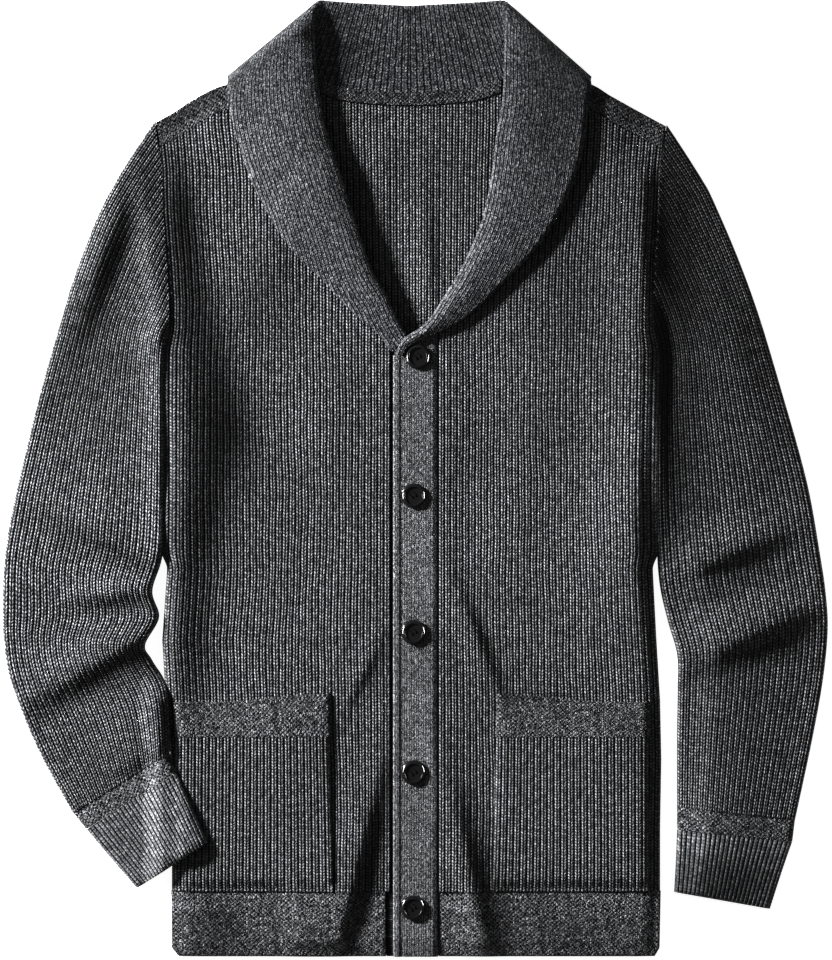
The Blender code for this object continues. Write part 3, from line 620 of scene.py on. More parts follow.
def rib_rise(u: Array, v: Array, gauge: Gauge) -> Array:
    """Height of a rib's two legs of stitches over its top line.

    Args:
        u: Ribs counted across, whole at a groove.
        v: Stitches counted along.
        gauge: The knit's sizes.

    Returns:
        Heights, 0 on the legs and down to the gauge's depth in the grooves.
    """
    off = np.abs(2 * (u - np.floor(u)) - 1)
    groove = gauge.depth * smoothstep(0.74, 1.0, off)
    loose = np.sin(np.floor(u) * 7.3) * 0.18
    bead = gauge.bead * np.cos(2 * np.pi * (v + loose + 0.2 * off)) * (1 - off**4)
    return bead - groove


def moss_rise(u: Array, v: Array, gauge: Gauge) -> Array:
    """Height of moss stitch: bumps that change places from row to row."""
    sway = 0.12 * np.sin(u * 0.71 + v * 0.37) + 0.1 * np.sin(v * 1.13 - u * 0.29)
    return gauge.bead * np.cos(np.pi * (u + sway)) * np.cos(np.pi * v)


def mapped_grid(points: Array, knit: Array, outer_columns: int = 0) -> bmesh.types.BMesh:
    """Lays a grid on a surface.

    Args:
        points: Places of the grid's points in metres, row by row.
        knit: Ribs and stitches counted at each point.
        outer_columns: How many of its first columns are on the outer side.

    Returns:
        The grid, whose UV map holds the knit's coordinates.
    """
    rows, columns = points.shape[:2]
    flat = bmesh.new()
    flat.loops.layers.uv.new(KNIT_UV)
    bmesh.ops.create_grid(
        flat, x_segments=columns - 1, y_segments=rows - 1, size=0.5, calc_uvs=True
    )
    mesh = bpy.data.meshes.new("grid")
    flat.to_mesh(mesh)
    flat.free()
    mesh.vertices.foreach_set("co", points.astype(np.float32).reshape(-1))
    outer = np.zeros((rows, columns), dtype=np.int32)
    outer[:, :outer_columns] = 1
    outer[:, -1] = outer[:, 0]
    marks = mesh.attributes.new(FACE_LAYER, "INT", "POINT")
    marks.data.foreach_set("value", outer.reshape(-1))
    corners = np.empty(len(mesh.loops), dtype=np.int32)
    mesh.loops.foreach_get("vertex_index", corners)
    places = knit.astype(np.float32).reshape(-1, 2)[corners]
    mesh.uv_layers[KNIT_UV].uv.foreach_set("vector", places.reshape(-1))
    laid = bmesh.new()
    laid.from_mesh(mesh)
    bpy.data.meshes.remove(mesh)
    bmesh.ops.remove_doubles(laid, verts=laid.verts, dist=2e-6)
    return laid


def spread_knit(bm: bmesh.types.BMesh, faces: Sequence[bmesh.types.BMFace]) -> None:
    """Gives new faces the knit coordinates of the faces that they join."""
    layer = bm.loops.layers.uv[KNIT_UV]
    fresh = set(faces)
    for face in faces:
        for loop in face.loops:
            for other in loop.vert.link_loops:
                if other.face not in fresh:
                    loop[layer].uv = other[layer].uv
                    break


def boundary_loops(bm: bmesh.types.BMesh) -> list[list[bmesh.types.BMEdge]]:
    """The open edges of a mesh, sorted into separate loops."""
    left = {edge for edge in bm.edges if edge.is_boundary}
    loops = []
    while left:
        loop = [left.pop()]
        queue = list(loop[0].verts)
        while queue:
            for edge in queue.pop().link_edges:
                if edge in left:
                    left.remove(edge)
                    loop.append(edge)
                    queue.extend(edge.verts)
        loops.append(loop)
    return loops


def harden(edges: Sequence[bmesh.types.BMEdge]) -> None:
    """Keeps the shading of a cut end apart from that of the sides."""
    for edge in edges:
        edge.smooth = False


def middle_of(loop: Sequence[bmesh.types.BMEdge]) -> Vector:
    """Mean place of a loop's edges."""
    total = Vector()
    for edge in loop:
        total += edge.verts[0].co + edge.verts[1].co
    return total / (2 * len(loop))


class Workshop:
    """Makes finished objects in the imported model's frame."""

    def __init__(self) -> None:
        """Finds where the garment's layout lies in the frame."""
        low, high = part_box(REFERENCE_BUTTON)
        centre = (low + high) / 2
        self.shift = np.array(
            [centre.x / MM - REFERENCE_BUTTON_PLACE[0], centre.y / MM - REFERENCE_BUTTON_PLACE[1], 0.0]
        )

    def place(self, points: Array) -> Array:
        """Layout points in millimetres as frame points in metres."""
        return (points + self.shift) * MM

    def to_object(self, name: str, bm: bmesh.types.BMesh, material: bpy.types.Material) -> bpy.types.Object:
        """Turns a finished bmesh into a smooth object with one material."""
        bmesh.ops.recalc_face_normals(bm, faces=bm.faces)
        for face in bm.faces:
            face.smooth = True
        mesh = bpy.data.meshes.new(name)
        bm.to_mesh(mesh)
        bm.free()
        mesh.materials.append(material)
        obj = bpy.data.objects.new(name, mesh)
        bpy.context.scene.collection.objects.link(obj)
        return obj

    def paint_crease_shade(self, obj: bpy.types.Object, painted_shade: Sequence[CreaseRow]) -> None:
        """Stores painted shade at each point: how far it lies in the listed troughs and flanks whose colour
        the finish darkens.
        """
        mesh = obj.data
        places = np.empty(len(mesh.vertices) * 3, dtype=np.float32)
        mesh.vertices.foreach_get("co", places)
        x, y, _ = (places.reshape(-1, 3) / MM - self.shift).T
        depth = 1 - np.exp(-crease_height(x, y, painted_shade))
        values = mesh.attributes.new(PAINTED_SHADE_ATTRIBUTE, "FLOAT", "POINT")
        values.data.foreach_set("value", (PAINTED_SHADE_STRENGTH * depth).astype(np.float32))

    def panel(
        self,
        name: str,
        upper: Array,
        upper_knit: Array,
        lower: Array,
        lower_knit: Array,
        material: bpy.types.Material,
    ) -> bpy.types.Object:
        """A flat wall, closed all round.

        Args:
            name: Name of the piece.
            upper: Points of its outer side in millimetres, a row at a time.
            upper_knit: Ribs and stitches counted at those points.
            lower: Points of its plain side, with the same number of rows.
            lower_knit: Ribs and stitches counted there.
            material: Its finish.

        Returns:
            The finished object.
        """
        ring = np.concatenate([upper, lower[:, ::-1], upper[:, :1]], axis=1)
        knit = np.concatenate([upper_knit, lower_knit[:, ::-1], upper_knit[:, :1]], axis=1)
        bm = mapped_grid(self.place(ring), knit, upper.shape[1])
        layer = bm.verts.layers.int[FACE_LAYER]
        for loop in boundary_loops(bm):
            chains = [edge for edge in loop if edge.verts[0][layer] == edge.verts[1][layer]]
            made = bmesh.ops.bridge_loops(bm, edges=chains)["faces"]
            spread_knit(bm, made)
            harden(chains)
        return self.to_object(name, bm, material)

    def tube(
        self,
        name: str,
        outer: Array,
        outer_knit: Array,
        inner: Array,
        inner_knit: Array,
        material: bpy.types.Material,
    ) -> bpy.types.Object:
        """A flattened tube, open at both ends.

        Args:
            name: Name of the piece.
            outer: Rings of points round its outer side in millimetres.
            outer_knit: Ribs and stitches counted at those points.
            inner: Rings of points round its inner side.
            inner_knit: Ribs and stitches counted there.
            material: Its finish.

        Returns:
            The finished object.
        """
        bm = mapped_grid(self.place(outer), outer_knit)
        lining = mapped_grid(self.place(inner), inner_knit)
        mesh = bpy.data.meshes.new("lining")
        lining.to_mesh(mesh)
        lining.free()
        bm.from_mesh(mesh)
        bpy.data.meshes.remove(mesh)
        loops = sorted(boundary_loops(bm), key=len)
        for narrow in loops[:2]:
            wide = min(loops[2:], key=lambda loop: (middle_of(loop) - middle_of(narrow)).length)
            made = bmesh.ops.bridge_loops(bm, edges=narrow + wide)["faces"]
            spread_knit(bm, made)
            harden(narrow + wide)
        return self.to_object(name, bm, material)


class NodeSketch:
    """Places nodes in a tree and links them."""

    def __init__(self, tree: bpy.types.NodeTree) -> None:
        """Starts on a tree."""
        self.tree = tree

    def add(self, kind: str, **settings: object) -> bpy.types.Node:
        """Adds a node with some of its settings."""
        node = self.tree.nodes.new(kind)
        for name, value in settings.items():
            setattr(node, name, value)
        return node

    def put(self, socket: bpy.types.NodeSocket, value: object) -> None:
        """Links a socket to another, or sets its value."""
        if isinstance(value, bpy.types.NodeSocket):
            self.tree.links.new(value, socket)
        else:
            socket.default_value = value

    def math(self, operation: str, *values: object) -> bpy.types.NodeSocket:
        """The result of a Math node."""
        node = self.add("ShaderNodeMath", operation=operation)
        for socket, value in zip(node.inputs, values):
            self.put(socket, value)
        return node.outputs[0]

    def ramp(self, value: object, low: float, high: float, start: float, end: float) -> bpy.types.NodeSocket:
        """A smooth step from start, at low, to end, at high."""
        node = self.add("ShaderNodeMapRange", interpolation_type="SMOOTHSTEP")
        names = ("Value", "From Min", "From Max", "To Min", "To Max")
        for name, number in zip(names, (value, low, high, start, end)):
            self.put(node.inputs[name], number)
        return node.outputs["Result"]

    def noise(
        self, vector: object, scale: float, detail: float = 2.0, rough: float = 0.5
    ) -> bpy.types.NodeSocket:
        """Noise between 0 and 1."""
        node = self.add("ShaderNodeTexNoise")
        self.put(node.inputs["Vector"], vector)
        for name, number in (("Scale", scale), ("Detail", detail), ("Roughness", rough)):
            node.inputs[name].default_value = number
        return node.outputs[0]

    def random(self, *parts: object) -> bpy.types.NodeSocket:
        """A steady random value for each whole pair of numbers."""
        joined = self.add("ShaderNodeCombineXYZ")
        for socket, part in zip(joined.inputs, parts):
            self.put(socket, part)
        node = self.add("ShaderNodeTexWhiteNoise", noise_dimensions="3D")
        self.put(node.inputs["Vector"], joined.outputs[0])
        return node.outputs["Value"]

    def mix(self, factor: object, first: object, second: object) -> bpy.types.NodeSocket:
        """A mix of two colours."""
        node = self.add("ShaderNodeMix", data_type="RGBA")
        self.put(node.inputs[0], factor)
        self.put(node.inputs[6], first)
        self.put(node.inputs[7], second)
        return node.outputs[2]


class GroupShelf:
    """The shared shader node groups, each made once."""

    def __init__(self) -> None:
        """Makes the groups."""
        self.stitches = {
            Stitch.HALF_CARDIGAN: self._ribs("Half cardigan rib", 0.55, (0.66, 0.94), 0.08, 0.05),
            Stitch.FINE_RIB: self._ribs("Fine rib", 0.4, (0.56, 1.0), 0.75, 0.34),
            Stitch.MOSS: self._moss(),
        }
        self.melange = self._melange()

    @staticmethod
    def _group(
        name: str, inputs: Sequence[tuple[str, str, object]], outputs: Sequence[tuple[str, str]]
    ) -> tuple[bpy.types.NodeTree, NodeSketch, bpy.types.Node, bpy.types.Node]:
        """An empty group with named sockets, and its input and output nodes."""
        tree = bpy.data.node_groups.new(name, "ShaderNodeTree")
        for label, kind, value in inputs:
            socket = tree.interface.new_socket(name=label, in_out="INPUT", socket_type=kind)
            if value is not None:
                socket.default_value = value
        for label, kind in outputs:
            tree.interface.new_socket(name=label, in_out="OUTPUT", socket_type=kind)
        sketch = NodeSketch(tree)
        return tree, sketch, sketch.add("NodeGroupInput"), sketch.add("NodeGroupOutput")

    def _stitch_group(
        self, name: str
    ) -> tuple[bpy.types.NodeTree, NodeSketch, bpy.types.Node, bpy.types.Node]:
        """A group that turns the knit's coordinates into a height, a painted shade for grooves and gaps, and
        a tone.
        """
        return self._group(
            name,
            (("Knit", "NodeSocketVector", None), ("Wander", "NodeSocketFloat", 0.1)),
            (("Height", "NodeSocketFloat"), ("Shade", "NodeSocketFloat"), ("Tone", "NodeSocketFloat")),
        )

    @staticmethod
    def _wander(
        sketch: NodeSketch, start: bpy.types.Node
    ) -> tuple[bpy.types.NodeSocket, bpy.types.NodeSocket]:
        """The knit's two coordinates, shaken a little so that no stitch is like the next."""
        split = sketch.add("ShaderNodeSeparateXYZ")
        sketch.put(split.inputs[0], start.outputs["Knit"])
        shaken = []
        for axis, scale in ((0, 0.9), (1, 1.3)):
            shake = sketch.math("SUBTRACT", sketch.noise(start.outputs["Knit"], scale, 2.0), 0.5)
            amount = sketch.math("MULTIPLY", shake, start.outputs["Wander"])
            amount = sketch.math("MULTIPLY", amount, 1.0 + 2.0 * axis)
            shaken.append(sketch.math("ADD", split.outputs[axis], amount))
        return shaken[0], shaken[1]

    def _ribs(
        self, name: str, slant: float, groove: tuple[float, float], valley: float, gap: float
    ) -> bpy.types.NodeTree:
        """Ribs of two legs of slanted stitches, with a groove between them that is painted dark as shade.

        Args:
            name: Name of the group.
            slant: How far, in stitches, a leg rises from the rib's middle to its edge.
            groove: Where the groove starts and is deepest, from 0 in the rib's middle to 1.
            valley: Height between the two legs, and how light the painted shade on the line between them is.
            gap: How light the painted shade in the gaps between stitches is.

        Returns:
            The group.
        """
        tree, sketch, start, end = self._stitch_group(name)
        across, along = self._wander(sketch, start)
        place = sketch.math("FRACT", across)
        off = sketch.math("ABSOLUTE", sketch.math("SUBTRACT", sketch.math("MULTIPLY", place, 2.0), 1.0))
        leg = sketch.math("FLOOR", sketch.math("MULTIPLY", across, 2.0))
        phase = sketch.math("MULTIPLY", sketch.random(leg, 3.7, 0.0), 0.5)
        step = sketch.math("SUBTRACT", sketch.math("ADD", along, phase), sketch.math("MULTIPLY", off, slant))
        wave = sketch.math("SINE", sketch.math("MULTIPLY", sketch.math("FRACT", step), np.pi))
        bead = sketch.math("POWER", wave, 1.3)
        tone = sketch.random(leg, sketch.math("FLOOR", step), 0.0)
        top = sketch.ramp(off, *groove, 1.0, 0.0)
        legs = sketch.ramp(off, 0.02, 0.24, valley, 1.0)
        rounded = sketch.math("MULTIPLY", top, sketch.ramp(off, 0.0, 0.42, valley, 1.0))
        # Painted shade: dark grooves, a dark line between the legs, and below, dark gaps between stitches.
        painted_groove_mask = sketch.math("MULTIPLY", top, legs)
        low_bead = sketch.math("MULTIPLY_ADD", bead, 0.5, 0.5)
        sketch.put(end.inputs["Height"], sketch.math("MULTIPLY", rounded, low_bead))
        dark_bead = sketch.math("MULTIPLY_ADD", bead, 1.0 - gap, gap)
        sketch.put(end.inputs["Shade"], sketch.math("MULTIPLY", painted_groove_mask, dark_bead))
        sketch.put(end.inputs["Tone"], tone)
        return tree

    def _moss(self) -> bpy.types.NodeTree:
        """Moss stitch: round bumps and gaps painted dark as shade, which change places from row to row."""
        tree, sketch, start, end = self._stitch_group("Moss stitch")
        across, along = self._wander(sketch, start)
        across = sketch.math("MULTIPLY", across, 1.35)
        along = sketch.math("MULTIPLY", along, 1.25)
        column = sketch.math("COSINE", sketch.math("MULTIPLY", across, np.pi))
        row = sketch.math("COSINE", sketch.math("MULTIPLY", along, np.pi))
        bump = sketch.math("MULTIPLY_ADD", sketch.math("MULTIPLY", column, row), 0.5, 0.5)
        sketch.put(end.inputs["Height"], bump)
        near = sketch.math("FLOOR", sketch.math("ADD", across, 0.5))
        level = sketch.math("FLOOR", sketch.math("ADD", along, 0.5))
        tone = sketch.random(near, level, 1.0)
        smallest = sketch.math("MULTIPLY_ADD", tone, -0.4, 0.42)
        # Painted shade in the gaps between the bumps.
        sketch.put(end.inputs["Shade"], sketch.ramp(bump, smallest, 0.86, 0.03, 1.0))
        sketch.put(end.inputs["Tone"], tone)
        return tree

    def _melange(self) -> bpy.types.NodeTree:
        """Wool of several greys: light and dark fibres, tone by stitch and faint clouds, mixed towards a
        near-black painted shade colour where the Shade input is low.
        """
        tree, sketch, start, end = self._group(
            "Melange wool",
            (
                ("Position", "NodeSocketVector", None),
                ("Shade", "NodeSocketFloat", 1.0),
                ("Tone", "NodeSocketFloat", 0.5),
                ("Mottle", "NodeSocketFloat", 0.3),
                ("Deep", "NodeSocketColor", (0.0, 0.0, 0.0, 1.0)),
                ("Yarn", "NodeSocketColor", (0.1, 0.1, 0.1, 1.0)),
                ("Fleck", "NodeSocketColor", (0.3, 0.3, 0.3, 1.0)),
            ),
            (("Color", "NodeSocketColor"), ("Fibre", "NodeSocketFloat")),
        )
        position = start.outputs["Position"]
        fibre = sketch.noise(position, 1500.0, 2.0, 0.6)
        cloud = sketch.noise(position, 9.0, 3.0, 0.6)
        clumps = sketch.noise(position, 620.0, 2.0, 0.6)
        tone = sketch.math("MULTIPLY_ADD", start.outputs["Tone"], 0.5, sketch.math("MULTIPLY", fibre, 0.75))
        light = sketch.ramp(tone, 0.35, 1.0, 0.0, 1.0)
        dark = sketch.ramp(tone, 0.2, 0.5, 0.5, 1.0)
        # Painted shade: the Shade input, with random tone, clouds and clumps, mixes the colour towards the
        # painted shade colour.
        depth = sketch.math("MULTIPLY", start.outputs["Shade"], dark)
        depth = sketch.math("MULTIPLY", depth, sketch.ramp(cloud, 0.3, 0.7, 0.86, 1.12))
        spread = sketch.math("SUBTRACT", sketch.ramp(clumps, 0.36, 0.64, 0.0, 1.7), 0.85)
        patchy = sketch.math("MULTIPLY_ADD", spread, start.outputs["Mottle"], 1.0)
        depth = sketch.math("MAXIMUM", sketch.math("MULTIPLY", depth, patchy), 0.0)
        yarn = sketch.mix(light, start.outputs["Yarn"], start.outputs["Fleck"])
        sketch.put(end.inputs["Color"], sketch.mix(depth, start.outputs["Deep"], yarn))
        sketch.put(end.inputs["Fibre"], fibre)
        return tree


@dataclass(frozen=True)
class WoolFinish:
    """A finish of melange wool in one kind of knitting."""

    name: str
    slot: str
    stitch: Stitch
    # Near-black colour that the painted shade of grooves, gaps and creases darkens towards.
    deep: tuple[float, float, float]
    yarn: tuple[float, float, float]
    fleck: tuple[float, float, float]
    wander: float
    mottle: float
    bump_depth: float
    roughness: float = 0.92
    sheen: float = 0.05

    def material(self, shelf: GroupShelf) -> bpy.types.Material:
        """Builds the finish's material from the shared groups."""
        material = bpy.data.materials.new(self.name)
        material.use_nodes = True
        tree = material.node_tree
        sketch = NodeSketch(tree)
        shader = tree.nodes["Principled BSDF"]
        painted_crease_shade = sketch.add("ShaderNodeAttribute", attribute_name=PAINTED_SHADE_ATTRIBUTE)
        knit = sketch.add("ShaderNodeUVMap", uv_map=KNIT_UV)
        position = sketch.add("ShaderNodeTexCoord")
        stitch = sketch.add("ShaderNodeGroup", node_tree=shelf.stitches[self.stitch])
        sketch.put(stitch.inputs["Knit"], knit.outputs["UV"])
        stitch.inputs["Wander"].default_value = self.wander
        wool = sketch.add("ShaderNodeGroup", node_tree=shelf.melange)
        sketch.put(wool.inputs["Position"], position.outputs["Object"])
        # Painted shade: the crease attribute and the stitch group's Shade darken the base colour in troughs,
        # grooves and gaps.
        unshaded_share = sketch.math("SUBTRACT", 1.0, painted_crease_shade.outputs["Fac"])
        sketch.put(wool.inputs["Shade"], sketch.math("MULTIPLY", stitch.outputs["Shade"], unshaded_share))
        sketch.put(wool.inputs["Tone"], stitch.outputs["Tone"])
        wool.inputs["Mottle"].default_value = self.mottle
        for label, colour in (("Deep", self.deep), ("Yarn", self.yarn), ("Fleck", self.fleck)):
            wool.inputs[label].default_value = (*colour, 1.0)
        sketch.put(shader.inputs["Base Color"], wool.outputs["Color"])
        height = sketch.math("MULTIPLY_ADD", wool.outputs["Fibre"], 0.3, stitch.outputs["Height"])
        bump = sketch.add("ShaderNodeBump")
        bump.inputs["Distance"].default_value = self.bump_depth * MM
        sketch.put(bump.inputs["Height"], height)
        sketch.put(shader.inputs["Normal"], bump.outputs["Normal"])
        shader.inputs["Roughness"].default_value = self.roughness
        shader.inputs["Specular IOR Level"].default_value = 0.06
        shader.inputs["Sheen Weight"].default_value = self.sheen
        shader.inputs["Sheen Roughness"].default_value = 0.45
        return material


@dataclass(frozen=True)
class GlossFinish:
    """A finish of polished black resin with faint scratches."""

    name: str = "Polished_button"
    slot: str = "button_gloss"
    colour: tuple[float, float, float] = (0.013, 0.013, 0.014)
    roughness: float = 0.13
    worn_roughness: float = 0.16

    def material(self) -> bpy.types.Material:
        """Builds the finish's material."""
        material = bpy.data.materials.new(self.name)
        material.use_nodes = True
        sketch = NodeSketch(material.node_tree)
        shader = material.node_tree.nodes["Principled BSDF"]
        position = sketch.add("ShaderNodeTexCoord").outputs["Object"]
        wear = sketch.noise(position, 160.0, 2.0, 0.5)
        clouds = sketch.noise(position, 240.0, 2.0)
        black = (*self.colour, 1.0)
        worn = tuple(1.5 * part for part in self.colour)
        sketch.put(shader.inputs["Base Color"], sketch.mix(clouds, black, (*worn, 1.0)))
        roughness = sketch.ramp(wear, 0.35, 0.75, self.roughness, self.worn_roughness)
        sketch.put(shader.inputs["Roughness"], roughness)
        shader.inputs["Specular IOR Level"].default_value = 0.6
        return material


# CHARCOAL_PAINTED_SHADE is a near-black colour painted into grooves, gaps and creases as their shade.
CHARCOAL_PAINTED_SHADE = (0.002, 0.0021, 0.0024)
CHARCOAL_YARN = (0.2, 0.204, 0.215)
CHARCOAL_FLECK = (0.49, 0.495, 0.51)
RIB_FINISH = WoolFinish(
    "Ribbed_wool",
    "ribbed_knit",
    Stitch.HALF_CARDIGAN,
    CHARCOAL_PAINTED_SHADE,
    CHARCOAL_YARN,
    CHARCOAL_FLECK,
    0.14,
    0.2,
    1.1,
)
MOSS_FINISH = WoolFinish(
    "Moss_wool", "moss_knit", Stitch.MOSS, CHARCOAL_PAINTED_SHADE, CHARCOAL_YARN, CHARCOAL_FLECK, 1.1, 0.5, 1.0
)
FINE_FINISH = WoolFinish(
    "Fine_rib_wool",
    "fine_rib_knit",
    Stitch.FINE_RIB,
    (0.008, 0.0085, 0.0095),
    (0.13, 0.134, 0.144),
    (0.38, 0.385, 0.4),
    0.5,
    0.85,
    0.9,
)
# Painted light: the same fine rib wool as the collar, with lighter yarn and flecks so the bands read
# brighter than their lighting makes them.
BAND_FINISH_PAINTED_LIGHTER = WoolFinish(
    "Button_band_wool_painted_lighter",
    "fine_rib_knit",
    Stitch.FINE_RIB,
    (0.008, 0.0085, 0.0095),
    (0.208, 0.212, 0.223),
    (0.54, 0.545, 0.56),
    0.6,
    0.75,
    0.9,
)
CUFF_FINISH = WoolFinish(
    "Cuff_wool",
    "ribbed_knit",
    Stitch.FINE_RIB,
    CHARCOAL_PAINTED_SHADE,
    (0.21, 0.215, 0.226),
    (0.5, 0.505, 0.52),
    0.2,
    0.35,
    0.55,
)
THREAD_FINISH = WoolFinish(
    "Button_thread",
    "button_gloss",
    Stitch.FINE_RIB,
    (0.002, 0.002, 0.002),
    (0.006, 0.006, 0.006),
    (0.012, 0.012, 0.012),
    0.1,
    0.0,
    0.05,
)


@dataclass(frozen=True)
class Wardrobe:
    """The finished materials that the pieces share."""

    ribs: bpy.types.Material
    moss: bpy.types.Material
    fine: bpy.types.Material
    band: bpy.types.Material
    cuff: bpy.types.Material
    gloss: bpy.types.Material
    thread: bpy.types.Material

    @classmethod
    def stocked(cls) -> Wardrobe:
        """Builds every material once."""
        shelf = GroupShelf()
        return cls(
            RIB_FINISH.material(shelf),
            MOSS_FINISH.material(shelf),
            FINE_FINISH.material(shelf),
            BAND_FINISH_PAINTED_LIGHTER.material(shelf),
            CUFF_FINISH.material(shelf),
            GlossFinish().material(),
            THREAD_FINISH.material(shelf),
        )


def declare(
    obj: bpy.types.Object,
    node: str,
    flat: tuple[float, float],
) -> None:
    """Hands a knitted piece to the frame.

    Args:
        obj: The piece.
        node: The solid that it stands for.
        flat: Width and length that it was knitted to, in millimetres.
    """
    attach(obj, "root")
    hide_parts(node)
    LOG.info("%s: %d faces, cut %.0f x %.0f mm", obj.name, len(obj.data.polygons), *flat)


def plan_area(x: Array, y: Array) -> float:
    """Area in plan of a grid of points, in square millimetres."""
    first = np.stack([x[1:, 1:] - x[:-1, :-1], y[1:, 1:] - y[:-1, :-1]], -1)
    second = np.stack([x[1:, :-1] - x[:-1, 1:], y[1:, :-1] - y[:-1, 1:]], -1)
    crossed = first[..., 0] * second[..., 1] - first[..., 1] * second[..., 0]
    return float(np.abs(crossed).sum() / 2)


def pair(u: Array, v: Array) -> Array:
    """Two coordinates as one array of points."""
    return np.stack(np.broadcast_arrays(u, v), -1)


@dataclass
class FrontPanel:
    """A ribbed front, from its hem band up to the shoulder strip and the collar's seam."""

    side: Side
    ribs: int = 35
    gauge: Gauge = BODY_GAUGE
    plain_columns: int = 14
    sway: float = 0.7
    flare: float = 5.0
    flare_low: tuple[float, float] = (-74.0, -58.0)
    flare_high: tuple[float, float] = (104.0, 128.0)
    beside_band: float = 2.6
    beside_reach: float = 22.0

    def spot(self, share: Array, rows: Array) -> tuple[Array, Array]:
        """X and Y of the places at some shares of the width, on some rows."""
        inner = CUT.front_edge_x[0 if self.side is Side.RIGHT else 1]
        sign = self.side.value

        def across(y: Array) -> Array:
            """X of the places at some heights."""
            beside_sleeve = smoothstep(*self.flare_low, y) * (1 - smoothstep(*self.flare_high, y))
            outer = side_x(y, self.side) - sign * CUT.seam_gap
            return inner + (outer - inner) * share + sign * self.flare * beside_sleeve * share**14

        top = np.full_like(share, CUT.lift_y[1])
        for _ in range(5):
            top = front_top_y(across(top), self.side)
        y = np.minimum(rows[:, None], top[None, :])
        drift = np.sin(0.021 * y + 5 * share) + 0.5 * np.sin(0.057 * y - 9 * share)
        drift = drift + 0.3 * np.sin(0.13 * y + 31 * share)
        return across(y) + self.sway * drift * 4 * share * (1 - share), y

    def _beside_band(self, x: Array) -> Array:
        """Height that the upper button band pulls the wearer's left front up to beside it."""
        if self.side is Side.RIGHT:
            return 0.0 * x
        return self.beside_band * np.exp(-(((x - CUT.front_edge_x[1]) / self.beside_reach) ** 2))

    def build(self, shop: Workshop, wardrobe: Wardrobe) -> bpy.types.Object:
        """Makes the front and hands it to the frame."""
        places = self.gauge.columns(self.ribs)
        rows = self.gauge.rows(CUT.hem_high + CUT.seam_gap, CUT.front_rows_high)
        width = abs(side_x(0.0, self.side) - CUT.panel_edge_x[0 if self.side is Side.RIGHT else 1])
        share = places / self.ribs
        x, y = self.spot(share, rows)
        v = y / self.gauge.stitch
        flat_seam = 1 - 0.8 * smoothstep(*CUT.sewn_y, y)
        drop = CUT.panel_edge_drop[0] * edge_drop(width * (1 - share)) * flat_seam
        base = CUT.front_low + lift(x, y) + body_swell(x, y) + self._beside_band(x)
        rise = CUT.rib_rise + rib_rise(places[None, :], v, self.gauge)
        upper = np.stack([x, y, base + CUT.wall + rise - drop], -1)
        low_share = np.linspace(0, 1, self.plain_columns)
        low_x, low_y = self.spot(low_share, rows)
        drop = CUT.panel_edge_drop[1] * edge_drop(width * (1 - low_share))
        base = CUT.front_low + lift(low_x, low_y) + body_swell(low_x, low_y) + self._beside_band(low_x)
        lower = np.stack([low_x, low_y, base - drop], -1)
        node = f"{self.side.word}_front"
        obj = shop.panel(
            f"{node}_knit",
            upper,
            pair(places[None, :], v),
            lower,
            pair((low_share * self.ribs)[None, :], low_y / self.gauge.stitch),
            wardrobe.ribs,
        )
        shop.paint_crease_shade(obj, BODY_PAINTED_SHADE)
        declare(obj, node, (width + 6, 645.0))
        return obj


@dataclass
class BackPanel:
    """The back, finely knitted where the neck opening shows it."""

    gauge: Gauge = BODY_GAUGE
    shown_from: float = 88.0
    coarse_row: float = 9.0
    plain_columns: int = 22

    def build(self, shop: Workshop, wardrobe: Wardrobe) -> bpy.types.Object:
        """Makes the back and hands it to the frame."""
        ribs = round(2 * CUT.back_rib_half / self.gauge.rib)
        inside = self.gauge.columns(ribs)
        middle = (inside / ribs - 0.5) * 2 * CUT.back_rib_half + CUT.neck_centre_x
        right = np.linspace(-CUT.back_half, middle[0] - 6, 26)
        left = np.linspace(middle[-1] + 6, CUT.back_half, 26)
        xs = np.concatenate([right, middle, left])
        places = (xs - middle[0]) / (2 * CUT.back_rib_half) * ribs
        low_xs = np.linspace(xs[0], xs[-1], self.plain_columns)
        low = CUT.hem_high + CUT.seam_gap
        far = np.arange(low, self.shown_from, self.coarse_row)
        near = self.gauge.rows(self.shown_from, float(back_top_y(xs).max()))
        rows = np.concatenate([far, near])

        def spot(base: Array) -> tuple[Array, Array]:
            """X and Y on every row, for places given by their X on the widest row."""
            y = np.minimum(rows[:, None], back_top_y(base)[None, :])
            to_right = base / -CUT.back_half * (side_x(y, Side.RIGHT) + CUT.seam_gap)
            to_left = base / CUT.back_half * (side_x(y, Side.LEFT) - CUT.seam_gap)
            return np.where(base < 0, to_right, to_left), y

        x, y = spot(xs)
        v = y / self.gauge.stitch
        shown = (np.abs(xs - CUT.neck_centre_x) <= CUT.back_rib_half + 0.1)[None, :]
        rise = np.where(shown, CUT.rib_rise + rib_rise(places[None, :], v, self.gauge), 0.6)
        wave = crease_height(x, y, BACK_CREASES) * (1 - smoothstep(260, 300, y))
        upper = np.stack([x, y, lift(x, y) + wave + CUT.wall + rise], -1)
        low_x, low_y = spot(low_xs)
        lower = np.stack([low_x, low_y, lift(low_x, low_y)], -1)
        low_places = (low_xs - middle[0]) / (2 * CUT.back_rib_half) * ribs
        obj = shop.panel(
            "back_panel_knit",
            upper,
            pair(places[None, :], v),
            lower,
            pair(low_places[None, :], low_y / self.gauge.stitch),
            wardrobe.ribs,
        )
        declare(obj, "back_panel", (410.0, 665.0))
        return obj


